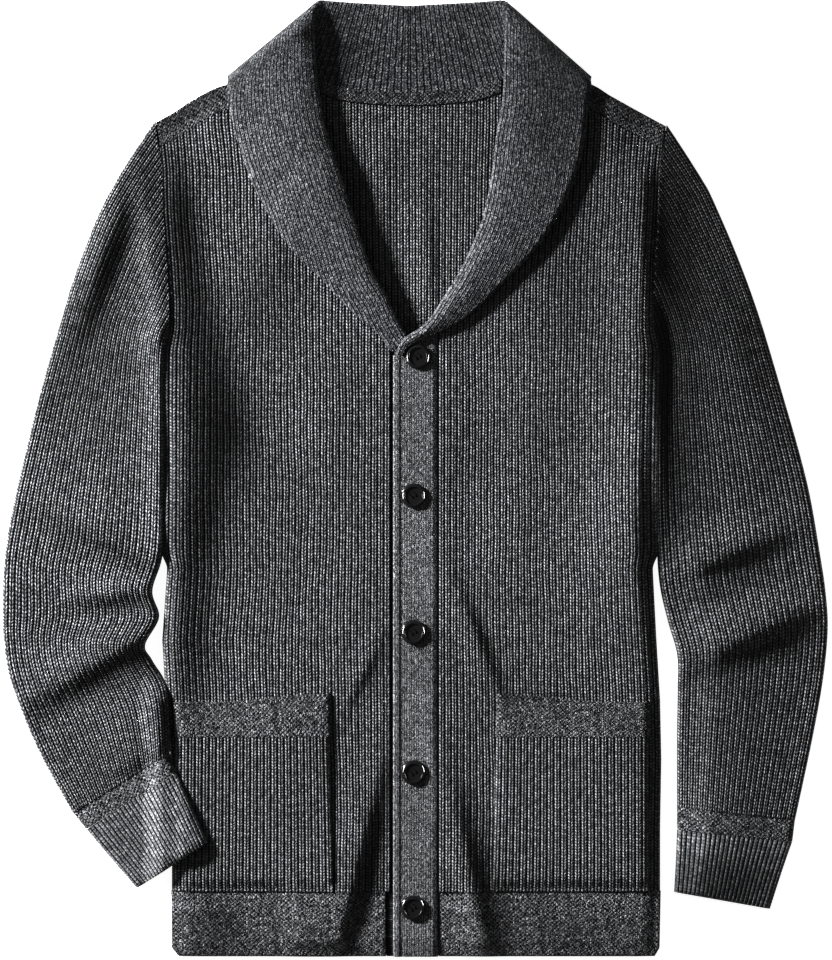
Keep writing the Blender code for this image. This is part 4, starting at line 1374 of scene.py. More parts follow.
@dataclass
class MossStrip:
    """A flat strip of moss stitch between two side edges and two ends."""

    node: str
    thickness: float
    base: Surface
    start: Callable[[Array], Array]
    end: Callable[[Array], Array]
    low: Surface
    high: Surface
    rests_on: tuple[str, ...] = ()
    round_low: bool = False
    round_sides: float = 0.5
    side_round: float = 3.0
    top_drop: float = 0.0
    gauge: Gauge = MOSS_GAUGE

    def spot(self, across: Array, along: Array) -> tuple[Array, Array]:
        """X and Y at a share of the width and of the height."""
        y = np.broadcast_to(self.low(across * 0, across * 0), np.broadcast(across, along).shape)
        x = across + 0 * along
        for _ in range(4):
            x = self.start(y) + (self.end(y) - self.start(y)) * across
            y = self.low(x, y) + (self.high(x, y) - self.low(x, y)) * along
        return x, y

    def build(self, shop: Workshop, wardrobe: Wardrobe) -> bpy.types.Object:
        """Makes the strip and hands it to the frame."""
        x, y = self.spot(np.array([[0.0, 1.0], [0.0, 1.0]]), np.array([[0.0, 0.0], [1.0, 1.0]]))
        width = float(np.hypot(np.diff(x[0]), np.diff(y[0]))[0])
        height = float(np.abs(np.diff(y[:, 0]))[0])
        columns = max(4, round(width / self.gauge.rib))
        rows = max(3, round(height / self.gauge.stitch))
        u = self.gauge.columns(columns)[None, :]
        v = np.linspace(0, rows, 2 * rows + 1)[:, None]
        x, y = self.spot(u / columns, v / rows)
        area = plan_area(x, y)
        from_side = np.minimum(u, columns - u)
        inside = smoothstep(0, 1.5, from_side) * smoothstep(0, 0.8, np.minimum(v, rows - v))
        rise = moss_rise(u, v, self.gauge) * (0.35 + 0.65 * inside)
        rise = rise - self.round_sides * edge_drop(from_side * self.gauge.rib, self.side_round)
        if self.round_low:
            rise = rise - 1.2 * edge_drop(v * self.gauge.stitch, 6.0)
        rise = rise - self.top_drop * smoothstep(0.72, 1.0, v / rows) ** 1.5
        upper = np.stack(np.broadcast_arrays(x, y, self.base(x, y) + self.thickness + rise), -1)
        low_u = np.linspace(0, columns, max(5, columns // 6))[None, :]
        low_x, low_y = self.spot(low_u / columns, v / rows)
        sunk = 0.38 * self.top_drop * smoothstep(0.72, 1.0, v / rows) ** 1.5
        lower = np.stack(np.broadcast_arrays(low_x, low_y, self.base(low_x, low_y) - sunk), -1)
        obj = shop.panel(f"{self.node}_knit", upper, pair(u, v), lower, pair(low_u, v), wardrobe.moss)
        shop.paint_crease_shade(obj, BODY_PAINTED_SHADE)
        declare(obj, self.node, (width, max(height, area / width)))
        return obj


def constant(value: float) -> Surface:
    """A surface function that is the same everywhere."""
    return lambda x, y: np.full(np.broadcast(x, y).shape, value)


def straight_edge(x: float) -> Callable[[Array], Array]:
    """An edge function that keeps to one X."""
    return lambda y: np.full(np.shape(y), x)


def side_seam(side: Side) -> Callable[[Array], Array]:
    """An edge function that follows the body's side."""
    return lambda y: side_x(y, side)


class MossStrips:
    """Every moss stitch strip on the body: hems, shoulders, back neck and pocket welts."""

    def __init__(self) -> None:
        """Lists the strips."""
        self.strips = [self._hem(None), self._hem(Side.RIGHT), self._hem(Side.LEFT), self._neck()]
        for side in Side:
            self.strips.append(self._shoulder(side))
            self.strips.append(self._welt(side))

    @staticmethod
    def _hem(side: Side | None) -> MossStrip:
        """The hem of the back, or of one front."""
        shared = {"low": constant(CUT.hem_low), "high": constant(CUT.hem_high), "round_low": True}
        right, left = side_seam(Side.RIGHT), side_seam(Side.LEFT)
        if side is None:
            return MossStrip("back_hem", CUT.moss_wall, flat_base, right, left, **shared)
        middle = straight_edge(CUT.panel_edge_x[0 if side is Side.RIGHT else 1])
        start, end = (right, middle) if side is Side.RIGHT else (middle, left)
        return MossStrip(
            f"{side.word}_front_hem",
            CUT.strip_wall,
            lambda x, y: CUT.front_low + body_swell(x, y),
            start,
            end,
            rests_on=("back_hem",),
            **shared,
        )

    @staticmethod
    def _shoulder(side: Side) -> MossStrip:
        """The strip along a shoulder, whose top folds down to the back."""
        outer = side_x(CUT.lift_y[1], side) - 2 * CUT.seam_gap * side.value
        inner = CUT.neck_end_x[0 if side is Side.RIGHT else 1]
        depth = CUT.strip_depth - 2 * CUT.seam_gap

        def outer_edge(y: Array) -> Array:
            """X of the strip's end at the armhole."""
            slant = side_x(y, side) - side_x(CUT.lift_y[1], side)
            return outer + slant + CUT.strip_tip * side.value * smoothstep(*CUT.strip_tip_y, y)

        return MossStrip(
            f"{side.word}_shoulder_strip",
            CUT.strip_wall,
            lambda x, y: CUT.front_low + lift(x, y),
            outer_edge,
            straight_edge(inner),
            lambda x, y: shoulder_y(x) - depth,
            lambda x, y: shoulder_y(x) + 0 * x,
            rests_on=("back_panel",),
            top_drop=0.7,
        )

    @staticmethod
    def _neck() -> MossStrip:
        """The strip that covers the back neck seam on the inside."""
        curve = seam_curve(*BACK_ROWS)
        low, high = CUT.neck_strip_heights
        ends = [CUT.neck_centre_x + sign * CUT.neck_strip_half for sign in (-1, 1)]

        def seam(x: Array, y: Array) -> Array:
            """Y of the strip's lower edge, just above the back neck seam."""
            off_centre = np.asarray(x) - CUT.neck_centre_x
            near = np.clip(off_centre, -CUT.neck_strip_bend, CUT.neck_strip_bend)
            past = np.abs(off_centre - near)
            return np.interp(CUT.neck_centre_x + near, curve[:, 0], curve[:, 1]) + 0.4 + 0.35 * past

        return MossStrip(
            "back_neck_strip",
            high - low,
            constant(low),
            straight_edge(ends[0]),
            straight_edge(ends[1]),
            seam,
            lambda x, y: seam(x, y) + CUT.neck_strip_depth,
            rests_on=("collar",),
        )

    @staticmethod
    def _welt(side: Side) -> MossStrip:
        """The top edge of a pocket."""
        heights = [row.y for row in WELTS]
        names = ("right_outer", "right_inner") if side is Side.RIGHT else ("left_inner", "left_outer")
        edges = [[getattr(row, name) for row in WELTS] for name in names]
        inner_x, outer_x = (-71.0, -201.0) if side is Side.RIGHT else (66.5, 194.0)

        def high(x: Array, y: Array) -> Array:
            """Y of the welt's upper edge, which rises towards the buttons."""
            share = (x - outer_x) / (inner_x - outer_x)
            return heights[-1] + CUT.welt_peak * smoothstep(0.25, 1, share)

        return MossStrip(
            f"{side.word}_pocket_welt",
            CUT.strip_wall,
            lambda x, y: CUT.front_top + CUT.seam_gap + body_swell(x, y),
            lambda y: np.interp(y, heights, edges[0]),
            lambda y: np.interp(y, heights, edges[1]),
            constant(heights[0]),
            high,
            rests_on=(f"{side.word}_front",),
            round_sides=2.4,
            side_round=8.0,
        )

    def build(self, shop: Workshop, wardrobe: Wardrobe) -> list[bpy.types.Object]:
        """Makes every strip."""
        return [strip.build(shop, wardrobe) for strip in self.strips]


@dataclass
class Pocket:
    """A ribbed patch pocket, made from its front's surface moved out."""

    side: Side
    ribs: int = 23
    gauge: Gauge = POCKET_GAUGE
    edge_dip: float = 2.8
    low_dip: float = 3.2

    def build(self, shop: Workshop, wardrobe: Wardrobe) -> bpy.types.Object:
        """Makes the pocket and hands it to the frame."""
        names = ("right_outer", "right_inner") if self.side is Side.RIGHT else ("left_inner", "left_outer")
        heights = [row.y for row in POCKETS]
        start, end = ([getattr(row, name) for row in POCKETS] for name in names)
        rows = self.gauge.rows(heights[0], heights[-1])[:, None]

        def spot(share: Array) -> tuple[Array, Array]:
            """X and Y on every row, for some shares of the width."""
            left = np.interp(rows, heights, start)
            right = np.interp(rows, heights, end)
            x = left + (right - left) * share[None, :]
            lean = 1.4 * np.sin(np.pi * share)[None, :] * smoothstep(heights[0], heights[-1], rows)
            return x - lean * self.side.value, np.broadcast_to(rows, x.shape)

        places = self.gauge.columns(self.ribs)
        share = places / self.ribs
        x, y = spot(share)
        v = (y - heights[0]) / self.gauge.stitch
        width = float(x[0, -1] - x[0, 0])
        base = CUT.front_top + CUT.seam_gap
        dip = self.edge_dip * edge_drop(width * np.minimum(share, 1 - share), 9.0)
        rise = CUT.rib_rise + rib_rise(places[None, :], v, self.gauge) - dip[None, :]
        rise = np.maximum(rise - self.low_dip * (1 - smoothstep(0, 12, y - heights[0])), -2.0)
        upper = np.stack([x, y, base + CUT.wall + rise + body_swell(x, y)], -1)
        low_share = np.linspace(0, 1, 9)
        low_x, low_y = spot(low_share)
        lower = np.stack([low_x, low_y, base + body_swell(low_x, low_y)], -1)
        node = f"{self.side.word}_pocket"
        obj = shop.panel(
            f"{node}_knit",
            upper,
            pair(places[None, :], v),
            lower,
            pair((low_share * self.ribs)[None, :], (low_y - heights[0]) / self.gauge.stitch),
            wardrobe.ribs,
        )
        shop.paint_crease_shade(obj, BODY_PAINTED_SHADE)
        declare(obj, node, (width, heights[-1] - heights[0]))
        return obj


@dataclass
class KnitTube:
    """A flattened tube of knit: a sleeve, the strip above a cuff, or a cuff."""

    node: str
    side: Side
    sections: Sequence[SectionRow]
    ribs: int
    gauge: Gauge
    stitch: Stitch
    rise: float
    base: Surface = flat_base
    creases: Sequence[CreaseRow] = ()
    set_in: bool = False
    rests_on: tuple[str, ...] = ()
    puff: tuple[float, float] = (3.0, 3.0)
    crest: float = 0.55
    low_crest: float = 0.55
    sag: float = 0.0
    end_drop: float = 0.0
    # Listed troughs and flanks whose painted shade darkens this tube's wool.
    painted_shade: Sequence[CreaseRow] = ()

    def _at(self, number: Array, c: Array) -> tuple[Array, Array, Array]:
        """X, Y and half width at a row number and a place c, from -1 outside to 1 inside."""
        rows = spline(self.sections, number)
        share = (c + 1) / 2
        x = rows[..., 0] + (rows[..., 2] - rows[..., 0]) * share
        y = rows[..., 1] + (rows[..., 3] - rows[..., 1]) * share
        return x, y, np.hypot(rows[..., 2] - rows[..., 0], rows[..., 3] - rows[..., 1]) / 2

    def _ends(self, c: Array) -> Array:
        """Row number at which each place c meets the armhole, or the last row."""
        if not self.set_in:
            return np.full_like(c, len(self.sections) - 1.0)
        numbers = np.linspace(0, len(self.sections) - 1, 1200)
        x, y, _ = self._at(numbers[None, :], c[:, None])
        sign = self.side.value
        faded = smoothstep(*CUT.armhole_fade_y, y)
        seam = sign * side_x(y, self.side) + 0.2 - CUT.armhole_overlap * (1 - faded)
        beyond = sign * x < seam
        beyond |= (y > shoulder_y(x)) & (sign * x < seam + 0.2)
        beyond &= y > CUT.armhole_low
        beyond[:, -1] = True
        return numbers[np.argmax(beyond, axis=1)]

    def _rows(self) -> tuple[Array, Array]:
        """Row numbers half a stitch apart along the middle, and their distances."""
        numbers = np.linspace(0, len(self.sections) - 1, 600)
        x, y, _ = self._at(numbers, np.zeros_like(numbers))
        travelled = np.concatenate([[0], np.cumsum(np.hypot(np.diff(x), np.diff(y)))])
        along = self.gauge.rows(0.0, float(travelled[-1]))
        return np.interp(along, travelled, numbers), along

    def _skin(
        self, places: Array, low_c: Array, inset: float, top: float, bottom: float, knitted: bool
    ) -> tuple[Array, Array, Array]:
        """Rings of one side of the wall.

        Args:
            places: Ribs counted across the upper side.
            low_c: Places from 1 to -1 across the lower side.
            inset: How far the rings lie inside the tube's outline.
            top: Height of the upper side.
            bottom: Height of the lower side.
            knitted: Whether the upper side carries the ribs.

        Returns:
            The rings' points, their knit coordinates, and the plan of the upper side.
        """
        numbers, along = self._rows()
        v = (along / self.gauge.stitch)[:, None]
        round_off = CUT.edge_round if knitted else CUT.inner_round
        middle = (top + bottom) / 2
        parts, knit = [], []
        up_c = 2 * places / self.ribs - 1
        for c, surface, u in ((up_c, top, places), (low_c, bottom, self.ribs * (3 - low_c) / 2)):
            number = np.minimum(numbers[:, None], self._ends(c)[None, :])
            half = self._at(number, c[None, :])[2]
            x, y, half = self._at(number, c[None, :] * (1 - inset / half))
            from_edge = half - np.abs(c)[None, :] * (half - inset)
            count = np.minimum(v, np.interp(number, numbers, v[:, 0]))
            sewn_in = smoothstep(*CUT.sewn_y, y) * (c > 0)[None, :] * float(self.set_in)
            draped = smoothstep(*CUT.draped_y, y) * (c > 0)[None, :] * float(self.sag > 0)
            softer = 1 - CUT.sewn_crispness * sewn_in + (CUT.draped_softness * draped if knitted else 0.0)
            full = 1 - edge_drop((1 - np.abs(c))[None, :] * half, round_off * softer)
            extra = 0.0
            if surface == top:
                extra = self._relief(u[None, :], count) if knitted else 0.0
            z = middle + (surface + extra - middle) * full + self.base(x, y)
            z = z - self.sag * draped * edge_drop(from_edge, CUT.soft_edge)
            if surface == top:
                flat_end = edge_drop(along, 9.0)[:, None] * float(self.end_drop > 0)
                air = self._air(number, c[None, :]) * (1 - flat_end) - self.end_drop * flat_end
                z = z + (air + crease_height(x, y, self.creases) * self._calm(number, c[None, :])) * full
            parts.append(np.stack([x, y, z], -1))
            knit.append(pair(u[None, :], count))
        ring = np.concatenate(parts + [parts[0][:, :1]], axis=1)
        last = knit[0][:, :1] + np.array([2.0 * self.ribs, 0.0])
        return ring, np.concatenate(knit + [last], axis=1), parts[0][..., :2]

    def _relief(self, u: Array, v: Array) -> Array:
        """Rise of the knit on the upper side."""
        if self.stitch is Stitch.MOSS:
            return self.rise + moss_rise(u, v, self.gauge)
        return self.rise + rib_rise(u, v, self.gauge)

    def _air(self, number: Array, c: Array) -> Array:
        """Height of the air in the tube, most of it near the body's side."""
        share = smoothstep(0, 4, number)
        height = self.puff[0] + (self.puff[1] - self.puff[0]) * share
        crest = self.low_crest + (self.crest - self.low_crest) * share
        rising = np.clip((c + 1.05) / (crest + 1.05), 0, 1)
        falling = np.clip((c - crest) / 0.45, 0, 1)
        return height * smoothstep(0, 1, rising) * (1 - smoothstep(0, 1, falling))

    def _calm(self, number: Array, c: Array) -> Array:
        """Lets the creases die away at both ends, where the tube meets its neighbours."""
        last = len(self.sections) - 1.0
        return smoothstep(0, 0.35, number) * smoothstep(0, 0.5, last - number + 0 * c)

    def build(self, shop: Workshop, wardrobe: Wardrobe) -> bpy.types.Object:
        """Makes the tube and hands it to the frame."""
        low_c = np.linspace(1, -1, 15)[1:-1]
        high = CUT.wall + CUT.tube_slit
        outer, outer_knit, plan = self._skin(
            self.gauge.columns(self.ribs), low_c, 0.0, high + CUT.wall, 0.0, True
        )
        slit = np.linspace(0, self.ribs, 9)
        inner, inner_knit, _ = self._skin(
            slit, np.linspace(1, -1, 9)[1:-1], CUT.tube_side_wall, high, CUT.wall, False
        )
        step = max(1, len(inner) // 60)
        picks = list(range(0, len(inner) - 1, step)) + [len(inner) - 1]
        knits = {Stitch.MOSS: wardrobe.moss, Stitch.FINE_RIB: wardrobe.cuff}
        material = knits.get(self.stitch, wardrobe.ribs)
        obj = shop.tube(f"{self.node}_knit", outer, outer_knit, inner[picks], inner_knit[picks], material)
        shop.paint_crease_shade(obj, self.painted_shade)
        area = 2 * plan_area(plan[..., 0], plan[..., 1])
        _, along = self._rows()
        half = self._at(np.array([0.5 * (len(self.sections) - 1)]), np.zeros(1))[2]
        flat = (4.0 * float(half[0]), float(along[-1]))
        flat = (max(flat[0], area / flat[1]), flat[1])
        declare(obj, self.node, flat)
        return obj


@dataclass(frozen=True)
class Arm:
    """What differs between the arms: outlines, folds, the air in the tubes and where it stands."""

    side: Side
    sleeve: tuple[SectionRow, ...]
    strip: tuple[SectionRow, ...]
    cuff: tuple[SectionRow, ...]
    creases: tuple[CreaseRow, ...]
    # The arm's troughs and flanks of painted shade.
    painted_shade: tuple[CreaseRow, ...]
    base: Surface
    air: tuple[float, float]
    crests: tuple[float, float]
    sag: float


ARMS = (
    Arm(
        Side.RIGHT,
        RIGHT_SLEEVE,
        RIGHT_STRIP,
        RIGHT_CUFF,
        RIGHT_SLEEVE_CREASES,
        RIGHT_SLEEVE_PAINTED_SHADE,
        base=drape,
        air=(1.9, 1.0),
        crests=(0.3, 0.85),
        sag=3.0,
    ),
    Arm(
        Side.LEFT,
        LEFT_SLEEVE,
        LEFT_STRIP,
        LEFT_CUFF,
        LEFT_SLEEVE_CREASES,
        LEFT_SLEEVE_PAINTED_SHADE,
        base=body_swell,
        air=(5.0, 6.5),
        crests=(0.45, 0.45),
        sag=0.0,
    ),
)


@dataclass
class Sleeves:
    """Both sleeves, the strips above their cuffs, and the cuffs."""

    sleeve_ribs: int = 24
    strip_ribs: int = 34
    cuff_ribs: int = 24
    strip_rise: float = 0.5
    cuff_rise: float = 0.9
    cuff_drop: float = 1.2

    def _sleeve(self, arm: Arm) -> KnitTube:
        """The sleeve, set into its armhole."""
        return KnitTube(
            f"{arm.side.word}_sleeve",
            arm.side,
            arm.sleeve,
            self.sleeve_ribs,
            SLEEVE_GAUGE,
            Stitch.HALF_CARDIGAN,
            CUT.rib_rise,
            creases=arm.creases,
            set_in=True,
            puff=arm.air,
            crest=arm.crests[1],
            **self._shared(arm),
        )

    def _strip(self, arm: Arm) -> KnitTube:
        """The moss stitch ring above the cuff."""
        return KnitTube(
            f"{arm.side.word}_sleeve_strip",
            arm.side,
            arm.strip,
            self.strip_ribs,
            MOSS_GAUGE,
            Stitch.MOSS,
            self.strip_rise,
            puff=(arm.air[0], arm.air[0]),
            crest=arm.crests[0],
            **self._shared(arm),
        )

    def _cuff(self, arm: Arm) -> KnitTube:
        """The cuff, whose open end sinks a little."""
        return KnitTube(
            f"{arm.side.word}_cuff",
            arm.side,
            arm.cuff,
            self.cuff_ribs,
            CUFF_GAUGE,
            Stitch.FINE_RIB,
            self.cuff_rise,
            puff=(arm.air[0], arm.air[0]),
            crest=arm.crests[0],
            end_drop=self.cuff_drop,
            **self._shared(arm),
        )

    @staticmethod
    def _shared(arm: Arm) -> dict[str, object]:
        """The fields that an arm's three tubes have in common."""
        return {"base": arm.base, "painted_shade": arm.painted_shade, "low_crest": arm.crests[0], "sag": arm.sag}

    def build(self, shop: Workshop, wardrobe: Wardrobe) -> list[bpy.types.Object]:
        """Makes the tubes of each arm, from the shoulder to the cuff."""
        tubes = [make(arm) for arm in ARMS for make in (self._sleeve, self._strip, self._cuff)]
        return [tube.build(shop, wardrobe) for tube in tubes]


@dataclass
class Collar:
    """The shawl collar: stand, rolled edge and fall, swept through its sections."""

    gauge: Gauge = COLLAR_GAUGE
    front_row: float = 1.6
    corner: float = 92.0
    fullness: float = 3.6
    roll_lift: float = 2.3
    edge_lift: tuple[float, float] = (0.6, 1.6)
    section: int = 12
    creases: tuple[CreaseRow, ...] = (
        CreaseRow(-103, 369, 24, 26, 5, 8, 2.0),
        CreaseRow(92, 369, -22, 26, 5, 8, 1.8),
        CreaseRow(-122, 268, 68, 60, 12, 16, 1.0),
        CreaseRow(104, 262, -66, 56, 12, 16, 1.0),
    )

    def _stations(self) -> tuple[Array, Array]:
        """Row numbers along the collar and their distance from the back's middle at the roll."""
        numbers = np.linspace(0, len(COLLAR) - 1, 3201)
        rows = spline(COLLAR, numbers)
        steps = np.hypot(np.diff(rows[:, 2]), np.diff(rows[:, 3]))
        travelled = np.concatenate([[0], np.cumsum(steps)])
        travelled -= np.interp((len(COLLAR) - 1) / 2 - 1.0, numbers, travelled)
        near = np.arange(0, self.corner, BACK_STAND_RIB / 2)
        marks = []
        for sign, end in ((-1, -travelled[0]), (1, travelled[-1])):
            far = np.linspace(near[-1] + BACK_STAND_RIB / 2, end, int((end - self.corner) / self.front_row))
            marks.append(sign * np.concatenate([near, far]))
        along = np.unique(np.concatenate(marks))
        return np.interp(along, travelled, numbers), along

    def _middle(self, numbers: Array) -> Array:
        """The middle of the wall: sections of points from the seam over the roll to the edge."""
        rows = spline(COLLAR, numbers)
        seam, roll, outer = rows[:, 0:2], rows[:, 2:4], rows[:, 4:6]
        mirror = np.where(numbers <= 15, 1.0, -1.0)[:, None]

        def unit(vector: Array) -> Array:
            """The same directions with a length of 1."""
            return vector / np.linalg.norm(vector, axis=-1, keepdims=True)

        bulge = -unit(unit(outer - roll) + unit(seam - roll))
        aside = np.stack([-bulge[:, 1], bulge[:, 0]], -1) * mirror
        turn = np.radians(rows[:, 9])[:, None]
        across = np.concatenate([np.sin(turn) * aside, np.cos(turn)], -1)
        forward = np.concatenate([bulge, np.zeros((len(rows), 1))], -1)
        radius = CUT.roll_radius
        on_top = (1 - smoothstep(20, 110, rows[:, 9])) * smoothstep(0, 5, numbers)
        on_top = on_top * smoothstep(0, 5, len(COLLAR) - 1 - numbers)
        centre = np.concatenate([roll, rows[:, 7:8]], -1) - forward * (radius + CUT.fine_wall / 2)
        centre[:, 2] += self.roll_lift * on_top
        start = np.concatenate([seam, rows[:, 6:7]], -1)
        stop = np.concatenate([outer, rows[:, 8:9]], -1)
        columns = []
        for share in np.linspace(0, 1, self.section, endpoint=False):
            columns.append(start + (centre - across * radius - start) * share)
        for angle in np.linspace(0, np.pi, 9):
            columns.append(centre + radius * (np.sin(angle) * forward - np.cos(angle) * across))
        fall = centre + across * radius
        lifted = np.interp(numbers, [0, 6, 26, 32], [0, self.edge_lift[0], self.edge_lift[1], 0])
        for share in np.linspace(0, 1, self.section + 1)[1:]:
            point = fall + (stop - fall) * share
            full = self.fullness * on_top * np.sin(np.pi * share**0.55)
            full = full + lifted * (1 - smoothstep(20, 110, rows[:, 9])) * share**2
            point[:, 2] += full + crease_height(point[:, 0], point[:, 1], self.creases) * on_top
            columns.append(point)
        middle = np.stack(columns, 1)
        middle[..., 2] += body_swell(middle[..., 0], middle[..., 1])
        return middle

    def _knit(self, along: Array, across: Array) -> tuple[Array, Array, Array]:
        """Ribs and stitches counted at a place, and how straight the ribs run there.

        On the fronts the ribs follow the roll. Behind the neck they stand up from the seam and
        cross the roll, and at the corners they turn from one way to the other.
        """
        away = np.abs(along) - self.corner
        behind = away < 0
        radius = np.hypot(away, np.maximum(across, 0))
        angle = np.arctan2(np.maximum(across, 0), np.maximum(-away, 1e-6))
        pitch = BACK_STAND_RIB + (self.gauge.rib - BACK_STAND_RIB) * angle / (np.pi / 2)
        u_behind = np.where(across > 0, radius / pitch, -away / BACK_STAND_RIB)
        v_behind = np.where(across > 0, (angle - np.pi / 2) * radius, across) / self.gauge.stitch
        u = np.where(behind, u_behind, np.abs(across) / self.gauge.rib)
        v = np.where(behind, v_behind, away / self.gauge.stitch)
        straight = np.where(behind & (across > 0), 0.35 + 0 * radius, 1.0)
        return u, v, straight

    def build(self, shop: Workshop, wardrobe: Wardrobe) -> bpy.types.Object:
        """Makes the collar and hands it to the frame."""
        numbers, along = self._stations()
        middle = self._middle(numbers)
        normal = np.cross(np.gradient(middle, axis=1), np.gradient(middle, axis=0))
        normal /= np.maximum(np.linalg.norm(normal, axis=-1, keepdims=True), 1e-9)
        steps = np.linalg.norm(np.diff(middle, axis=1), axis=-1)
        travelled = np.concatenate([np.zeros((len(middle), 1)), np.cumsum(steps, axis=1)], axis=1)
        travelled -= travelled[:, self.section + 4 : self.section + 5]
        pitch = self.gauge.rib / 2
        marks = np.arange(-56, 56) * pitch
        marks = np.unique(np.concatenate([marks, (np.arange(-3, 3) + 0.5) * pitch]))
        marks = marks[(marks > travelled.min() - pitch) & (marks < travelled.max() + pitch)]
        upper = np.empty((len(middle), len(marks), 3))
        across = np.empty((len(middle), len(marks)))
        for index, (points, normals, places) in enumerate(zip(middle, normal, travelled)):
            across[index] = np.clip(marks, places[0], places[-1])
            outward = np.stack([np.interp(across[index], places, normals[:, k]) for k in range(3)], -1)
            spine = np.stack([np.interp(across[index], places, points[:, k]) for k in range(3)], -1)
            u, v, straight = self._knit(along[index], across[index])
            relief = straight * rib_rise(u, v, self.gauge)
            edge = np.minimum(across[index] - places[0], places[-1] - across[index])
            relief = relief - 0.9 * edge_drop(edge, 2.5)
            upper[index] = spine + outward * (CUT.fine_wall / 2 + relief + 0.3)[:, None]
        u, v, _ = self._knit(along[:, None], across)
        lower = middle - normal * CUT.fine_wall / 2
        low_u, low_v, _ = self._knit(along[:, None], travelled)
        obj = shop.panel("collar_knit", upper, pair(u, v), lower, pair(low_u, low_v), wardrobe.fine)
        shop.paint_crease_shade(obj, COLLAR_PAINTED_SHADE)
        length = float(along[-1] - along[0])
        width = float(np.mean(travelled[:, -1] - travelled[:, 0]))
        declare(obj, "collar", (length * 1.12, width))
        return obj


@dataclass
class ButtonBand:
    """A fine rib band down the front, with its ribs lengthwise."""

    node: str
    top_edge: Sequence[EdgeRow]
    low: Callable[[Array], Array]
    edge_soft: float
    rests_on: tuple[str, ...]
    sewn_drop: float = 0.0
    rolled_edge: float = 0.0
    sunk: float = 0.0
    reach: float = 0.0
    shaded_ribs: float = 0.0
    fineness: float = 1.6
    gauge: Gauge = BAND_GAUGE

    def build(self, shop: Workshop, wardrobe: Wardrobe) -> bpy.types.Object:
        """Makes the band and hands it to the frame."""
        xs = np.array([row.x for row in self.top_edge])
        xs[0] -= self.reach
        tops = np.array([row.y for row in self.top_edge])
        width = float(xs[-1] - xs[0])
        ribs = round(width / self.gauge.rib)
        places = self.gauge.columns(ribs)
        rows = self.gauge.rows(CUT.hem_low, float(tops.max()))

        def spot(x: Array) -> tuple[Array, Array]:
            """X and Y on every row, which ends at the band's top."""
            top = np.interp(x, xs, tops)
            return np.broadcast_to(x, (len(rows), len(x))), np.minimum(rows[:, None], top[None, :])

        x, y = spot(xs[0] + places / ribs * width)
        v = y / self.gauge.stitch
        from_edge = np.minimum(x - xs[0], xs[-1] - x)
        rise = rib_rise(places[None, :], v, self.gauge) - self.edge_soft * edge_drop(x - xs[0], 2.4)
        rise = rise - 0.5 * edge_drop(y - CUT.hem_low, 4.0) + 0.3 * smoothstep(0, 3, from_edge)
        rise = rise - self.sewn_drop * edge_drop(xs[-1] - x, 3.0)
        rise = rise - self.sunk * (1 - smoothstep(7, 11, x - xs[0]))
        rolled = smoothstep(0, 1.5, x - xs[0]) * (1 - smoothstep(5.2, 6.4, x - xs[0]))
        rise = rise + self.rolled_edge * (rolled - np.exp(-(((x - xs[0] - 7.0) / 0.9) ** 2)))
        upper = np.stack([x, y, self.low(x) + CUT.band_wall + rise + body_swell(x, y)], -1)
        low_x, low_y = spot(np.linspace(xs[0], xs[-1], 9))
        lower = np.stack([low_x, low_y, self.low(low_x) + body_swell(low_x, low_y)], -1)
        low_places = (low_x - xs[0]) / width * ribs
        # Ribs below shaded_ribs are painted in full groove shade, as the shadow beside the band on top.
        knit = self.fineness * pair(np.where(places < self.shaded_ribs, 0.0, places)[None, :], v)
        low_knit = pair(low_places, low_y / self.gauge.stitch)
        obj = shop.panel(f"{self.node}_knit", upper, knit, lower, low_knit, wardrobe.band)
        flat = (width, float(tops.max()) - CUT.hem_low)
        declare(obj, self.node, flat)
        return obj


@dataclass
class Bands:
    """The two button bands."""

    sewn_edge_x: tuple[float, float] = (13.2, 17.8)
    sewn_edge_sink: float = 0.3

    def build(self, shop: Workshop, wardrobe: Wardrobe) -> list[bpy.types.Object]:
        """Makes the band underneath, then the one on top of it."""
        step = CUT.over_band_low - CUT.front_low
        under = ButtonBand(
            "under_band",
            UNDER_BAND_TOP,
            lambda x: np.full(x.shape, CUT.front_low),
            0.5,
            ("back_panel",),
            sunk=1.2,
            # Its first two ribs are painted black as shadow.
            shaded_ribs=2.0,
        )
        over = ButtonBand(
            "over_band",
            OVER_BAND_TOP,
            lambda x: CUT.front_low + step * (1 - self.sewn_edge_sink * smoothstep(*self.sewn_edge_x, x)),
            0.9,
            ("under_band",),
            sewn_drop=0.8,
            rolled_edge=0.4,
            reach=2.2,
        )
        return [under.build(shop, wardrobe), over.build(shop, wardrobe)]


